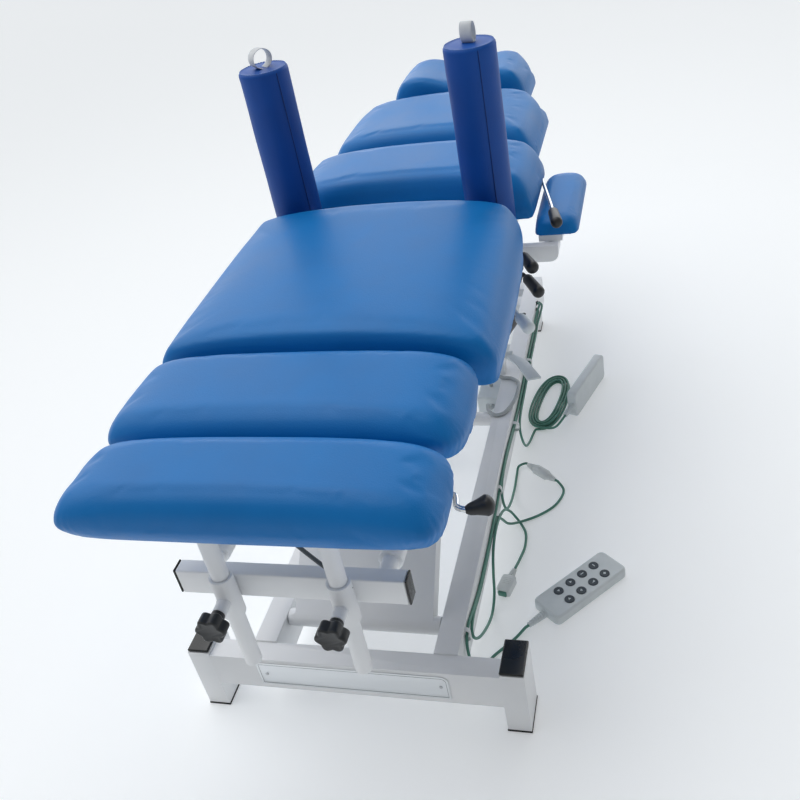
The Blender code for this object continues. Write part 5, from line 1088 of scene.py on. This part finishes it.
def makeCushions():
    forms = []
    for row in cushionRows:
        thing = fitted(foamForm(row), row, cushionSetup["swell"] * row.get("swell", 1))
        thing.data.remesh_voxel_size = cushionSetup["voxel"] * (0.66 if "swell" in row else 1)
        choose(thing)
        bpy.ops.object.voxel_remesh()
        start = meshPoints(thing)
        held = thing.vertex_groups.new(name="held")
        floorZ = start[:, 2].min()
        held.add([int(i) for i in np.nonzero(start[:, 2] < floorZ + 0.003)[0]], 1.0, "REPLACE")
        cloth = thing.modifiers.new("cover", "CLOTH")
        cloth.settings.quality = 4
        cloth.settings.use_pressure = True
        cloth.settings.uniform_pressure_force = cushionSetup["pressure"]
        cloth.settings.vertex_group_mass = "held"
        cloth.settings.effector_weights.gravity = 0
        cloth.point_cache.frame_start = 1
        cloth.point_cache.frame_end = cushionSetup["frames"]
        forms.append((thing, row, start))
    for number in range(1, cushionSetup["frames"] + 1):
        bpy.context.scene.frame_set(number)
    for thing, row, start in forms:
        if start is not None:
            choose(thing)
            bpy.ops.object.modifier_apply(modifier="cover")
            swelled = meshPoints(thing) - start
            travel = np.linalg.norm(swelled, axis=1, keepdims=True)
            cap = cushionSetup["cap"] * row.get("swell", 1)
            setPoints(thing, start + swelled * np.minimum(1, cap / np.maximum(travel, 1e-9)))
            print(row["name"], "cover swelled", round(float(travel.max()) * 1000, 1), "mm")
        fitted(thing, row, 0)
        if start is not None:
            applied(thing, "SUBSURF", levels=1, render_levels=1)
        gathered(thing, row)
        choose(thing)
        bpy.ops.object.shade_smooth()
        node = "armrest_pad" if row["name"] == "armrest" else f"{row['name']}_cushion"
        dress(thing, f"{row['name']}_upholstery", row["body"], blueVinyl, (node,))
    bpy.context.scene.frame_set(1)


makeCushions()
print("cushions made")

# Bolsters: foam rolls in vinyl, with a stitched rim, a side seam and a webbing loop on top
bolsterSetup = {"x": 0.208, "y": 0.757, "radius": 0.050, "low": 0.6073, "height": 0.3925,
                "round": 0.007, "pin": 0.008, "pinLow": 0.5517, "uneven": 0.0010,
                "seam": 0.0008, "seamTurns": {-1: -38, 1: -62}, "rim": 0.0035,
                "stitch": 0.0040, "thread": 0.00055}


def stitchRow(points, length, radius):
    # Short thread lengths along a line of points
    parts = []
    for start, end in zip(points, points[1:]):
        step = (end - start).normalized() * length / 2
        middle = (start + end) / 2
        parts.append(plainBar(middle - step, middle + step, radius, 6))
    return bevelSharp(joined(*parts), radius * 0.4, 1)


def strap(points, across, width, thick):
    # A flat band along the points, its width along one direction
    across = Vector(across).normalized() * width / 2
    corners = [Vector(point) + way for point in points for way in (-across, across)]
    faces = [(2 * i, 2 * i + 1, 2 * i + 3, 2 * i + 2) for i in range(len(points) - 1)]
    made = meshPiece("strap", corners, [], faces)
    applied(made, "SOLIDIFY", thickness=thick, offset=0)
    applied(made, "BEVEL", width=thick / 3, segments=2, limit_method="ANGLE")
    return smoothed(made, 40)


def makeBolster(side, word):
    b = bolsterSetup
    centre = placed(side * b["x"], b["y"], 0)
    top = b["low"] + b["height"]
    r, e = b["radius"], b["round"]
    profile = [(0, b["pinLow"]), (b["pin"], b["pinLow"]), (b["pin"], b["low"] - 0.001),
               (r - e, b["low"]), (r - e * 0.3, b["low"] + e * 0.3), (r, b["low"] + e)]
    profile += [(r, z) for z in np.linspace(b["low"] + 0.02, top - 0.02, 40)]
    profile += [(r, top - 0.008), (r - 0.0006, top - 0.0045), (r - 0.0028, top - 0.0012),
                (r - 0.0050, top - 0.0004), (r - 0.0064, top - 0.0012), (r * 0.7, top - 0.0004),
                (r * 0.3, top), (0, top)]
    roll = turnedPiece(profile, centre, (0, 0, 1), 72)
    points = meshPoints(roll)
    # The cover lies a little unevenly over the foam
    uneven = np.array([noise.noise(Vector((p[0] * 22, p[1] * 22 + side * 7, p[2] * 9)))
                       for p in points])
    out = points[:, :2] - np.array(centre[:2])
    size = np.linalg.norm(out, axis=1)
    on = (points[:, 2] > b["low"] + 0.01) & (points[:, 2] < top - 0.01) & (size > 0.04)
    out = out / np.maximum(size, 1e-6)[:, None]
    points[on, :2] += out[on] * (uneven[on] * b["uneven"] - 0.0004)[:, None]
    setPoints(roll, points)
    # The roll's darker blue is painted shade; the real cover is the same vinyl as the cushions
    painted(roll, bolsterShadeVinyl)
    seamTurn = radians(b["seamTurns"][side])
    seamLine = [centre + Vector(((r + 0.0003) * cos(seamTurn), (r + 0.0003) * sin(seamTurn), z))
                for z in np.linspace(b["low"] + 0.008, top - 0.006, 30)]
    # The side seam's dark blue is painted shadow in its crease
    seam = painted(bentBar(seamLine, b["seam"], 2), seamShadeVinyl)
    ring = r - b["rim"]
    rim = [centre + Vector((ring * cos(a), ring * sin(a), top - 0.0003))
           for a in np.linspace(0, 2 * pi, 53)]
    stitches = painted(stitchRow(rim, b["stitch"], b["thread"]), stitchThread)
    made = smoothed(joined(roll, seam, stitches), 45)
    dress(made, f"bolster_roll_{word}", f"{word}_bolster", None,
          (f"bolster_{word}",))
    return centre + Vector((0, 0, top))


def makeLoop(top, word, reach, width, turn):
    half = loopSetup["rise"] / 2
    points = [(reach * cos(a), half + half * sin(a))
              for a in np.linspace(-0.42 * pi, 1.42 * pi, 28)]
    # Both ends tuck into the seam of the top disc
    points = [(0.004, -0.004)] + points + [(-0.004, -0.004)]
    c, s = cos(radians(turn)), sin(radians(turn))
    line = [top + Vector((u * c, u * s, z - 0.0005)) for u, z in points]
    band = strap(line, (-s, c, 0), width, loopSetup["thick"])
    dress(band, f"webbing_loop_{word}", f"{word}_bolster", webbing)


# The left loop is an open ring, the right one is narrow and stands up
loopSetup = {"rise": 0.0375, "thick": 0.0012}
for side, word, reach, width, turn in ((-1, "left", 0.0205, 0.022, 50),
                                       (1, "right", 0.0095, 0.024, 74)):
    makeLoop(makeBolster(side, word), word, reach, width, turn)
print("bolsters made")

# Levers: a bent rod through points given as shares of its length, with a tapered grip. A rod with
# no barrel runs on into the frame
leverSetup = {"sunk": 0.018, "barrelHalf": 0.008, "barrel": 0.007}
leverRows = (
    {"name": "thoracic_lever", "body": "thoracic_drop_lever", "pivot": (0.2123, 1.120, 0.508),
     "length": 0.415, "barrel": (0, 0, 1), "rod": 0.004, "grip": (0.011, 0.0121),
     "finish": chrome, "slot": "chrome",
     "shares": ((0.045, 0, 0), (0.096, -0.017, 0.132), (0.127, -0.067, 0.246),
                (0.187, -0.342, 0.263), (0.252, -0.626, 0.279), (0.274, -0.730, 0.284),
                (0.312, -0.903, 0.294))},
    {"name": "lumbar_lever_upper", "body": "lumbar_drop_lever", "pivot": (0.2433, 0.757, 0.528),
     "length": 0.122, "barrel": (0, 0, 1), "rod": 0.004, "grip": (0.011, 0.0132),
     "finish": blackPlastic, "slot": "black_plastic",
     "shares": ((0.115, -0.049, 0), (0.148, -0.123, 0.148), (0.170, -0.193, 0.352),
                (0.219, -0.291, 0.385), (0.465, -0.799, 0.385))},
    {"name": "lumbar_lever_lower", "body": "lumbar_tension_lever", "pivot": (0.205, 0.718, 0.508),
     "length": 0.148, "barrel": None, "rod": 0.0045, "grip": (0.011, 0.01265),
     "finish": blackPlastic, "slot": "black_plastic",
     "shares": ((0.270, 0, 0), (0.351, -0.041, 0.081), (0.412, -0.074, 0.216),
                (0.493, -0.182, 0.216), (0.730, -0.649, 0.216))},
    {"name": "pelvic_release_lever", "body": "pelvic_drop_lever", "pivot": (0.150, 0.587, 0.565),
     "length": 0.190, "barrel": None, "rod": 0.0045, "grip": (0.011, 0.01265),
     "finish": greyPlastic, "slot": "grey_plastic",
     "shares": ((0.447, 0, 0), (0.526, -0.032, -0.053), (0.589, -0.058, -0.132),
                (0.695, -0.268, -0.132), (0.842, -0.526, -0.132))},
    {"name": "flexion_lock_lever", "body": "flexion_lever", "pivot": (0.205, 0.645, 0.508),
     "length": 0.088, "barrel": None, "rod": 0.0045, "grip": (0.011, 0.01155),
     "finish": blackPlastic, "slot": "black_plastic",
     "shares": ((0.410, 0, 0), (0.510, -0.050, -0.120), (0.545, -0.216, -0.318),
                (0.386, -0.864, -0.318))},
    {"name": "foot_release_lever", "body": "foot_lever", "pivot": (0.232, 0.030, 0.533),
     "length": 0.080, "barrel": (0, 1, 0), "rod": 0.005, "grip": (0.0099, 0.0165),
     "finish": chrome, "slot": "black_plastic",
     "shares": ((0.213, 0, 0), (0.300, -0.275, -0.025), (0.500, -0.338, -0.038),
                (0.988, -0.138, -0.038))},
)


def makeLever(row):
    pivot = placed(*row["pivot"])
    *route, gripEnd = [pivot + row["length"] * Vector(share) for share in row["shares"]]
    start = pivot if row["barrel"] else pivot - Vector((leverSetup["sunk"], 0, 0))
    rod = painted(bentBar([start, *route], row["rod"], 4), row["finish"])
    line = gripEnd - route[-1]
    size, (narrow, wide) = line.length, row["grip"]
    profile = [(0, -0.003), (narrow * 0.55, -0.003), (narrow * 0.72, 0), (narrow * 0.9, 0.003),
               (narrow, 0.007)]
    dome = min(wide * 0.8, size * 0.35)
    profile += [(narrow + (wide - narrow) * t ** 1.3, 0.007 + (size - 0.007 - dome) * t)
                for t in (0.25, 0.5, 0.75, 1)]
    profile += [(wide * cos(a), size - dome + dome * sin(a)) for a in np.linspace(0.2, pi / 2, 7)]
    grip = painted(turnedPiece(profile, route[-1], line, 28),
                   row["finish"] if row["finish"] is greyPlastic else gripPlastic)
    parts = [rod, grip]
    if row["barrel"]:
        step = Vector(row["barrel"]) * leverSetup["barrelHalf"]
        barrel = roundBar(pivot - step, pivot + step, leverSetup["barrel"])
        parts.append(painted(barrel, row["finish"]))
    made = smoothed(joined(*parts), 40)
    dress(made, f"{row['name']}_bar", row["body"], None, (row["name"],))


for row in leverRows:
    makeLever(row)
print("levers made")

# Small parts on the right rail: saddle clips over the cords, grommets, and a plug in its hole
clipSetup = {"back": 0.1955, "front": 0.1975, "half": 0.005, "band": 0.0095, "thick": 0.0012}
clipRows = (
    # along the rail, lowest cord, highest cord, reach from the middle
    (1.010, 0.107, 0.130, 0.2108), (0.746, 0.105, 0.1255, 0.2108),
    (0.509, 0.113, 0.132, 0.2045), (0.104, 0.117, 0.142, 0.2050),
)


def makeClip(number, y, low, high, reach):
    # A plate on the rail and an arch over the cords
    c = clipSetup
    plate = block((c["back"], c["front"]), (y - c["half"], y + c["half"]),
                  (low - 0.008, high + 0.003), 0.0006)
    inner, outer = c["front"] - 0.0003, c["front"] + 0.0015
    arch = strap([placed(x, y, z) for x, z in (
        (inner, low - 0.001), (outer, low - 0.001), (reach - 0.003, low), (reach, low + 0.004),
        (reach, high - 0.004), (reach - 0.003, high), (outer, high + 0.001),
        (inner, high + 0.001))], (0, 1, 0), c["band"], c["thick"])
    screw = turnedPiece([(0, 0), (0.0026, 0), (0.0026, 0.0004), (0.0016, 0.0012), (0, 0.0014)],
                        placed(c["front"], y, low - 0.0045), (1, 0, 0), 16)
    made = joined(painted(plate, lightPlastic), painted(arch, lightPlastic),
                  painted(screw, zincSteel))
    dress(smoothed(made), f"cord_clip_{number}", "base", None)


for number, (y, clipLow, clipHigh, reach) in enumerate(clipRows, 1):
    makeClip(number, y, clipLow, clipHigh, reach)
for number, (y, z) in enumerate(((1.272, 0.146), (1.288, 0.139), (1.258, 0.134)), 1):
    ring = [(0.0031, -0.001), (0.0060, -0.001), (0.0060, 0.0006), (0.0048, 0.0014),
            (0.0031, 0.0014), (0.0031, -0.001)]
    grommet = turnedPiece(ring, placed(0.196, y, z), (1, 0, 0), 24)
    dress(smoothed(grommet), f"cord_grommet_{number}", "base", footRubber)
hole = turnedPiece([(0, -0.002), (0.0068, -0.002), (0.0068, 0.0003), (0.0055, 0.0008),
                    (0.0045, 0.0002), (0, 0.0001)], placed(0.168, 1.209, 0.150), (0, 0, 1), 24)
dress(smoothed(hole), "rail_hole_plug", "base", blackPlastic)
print("small parts made")
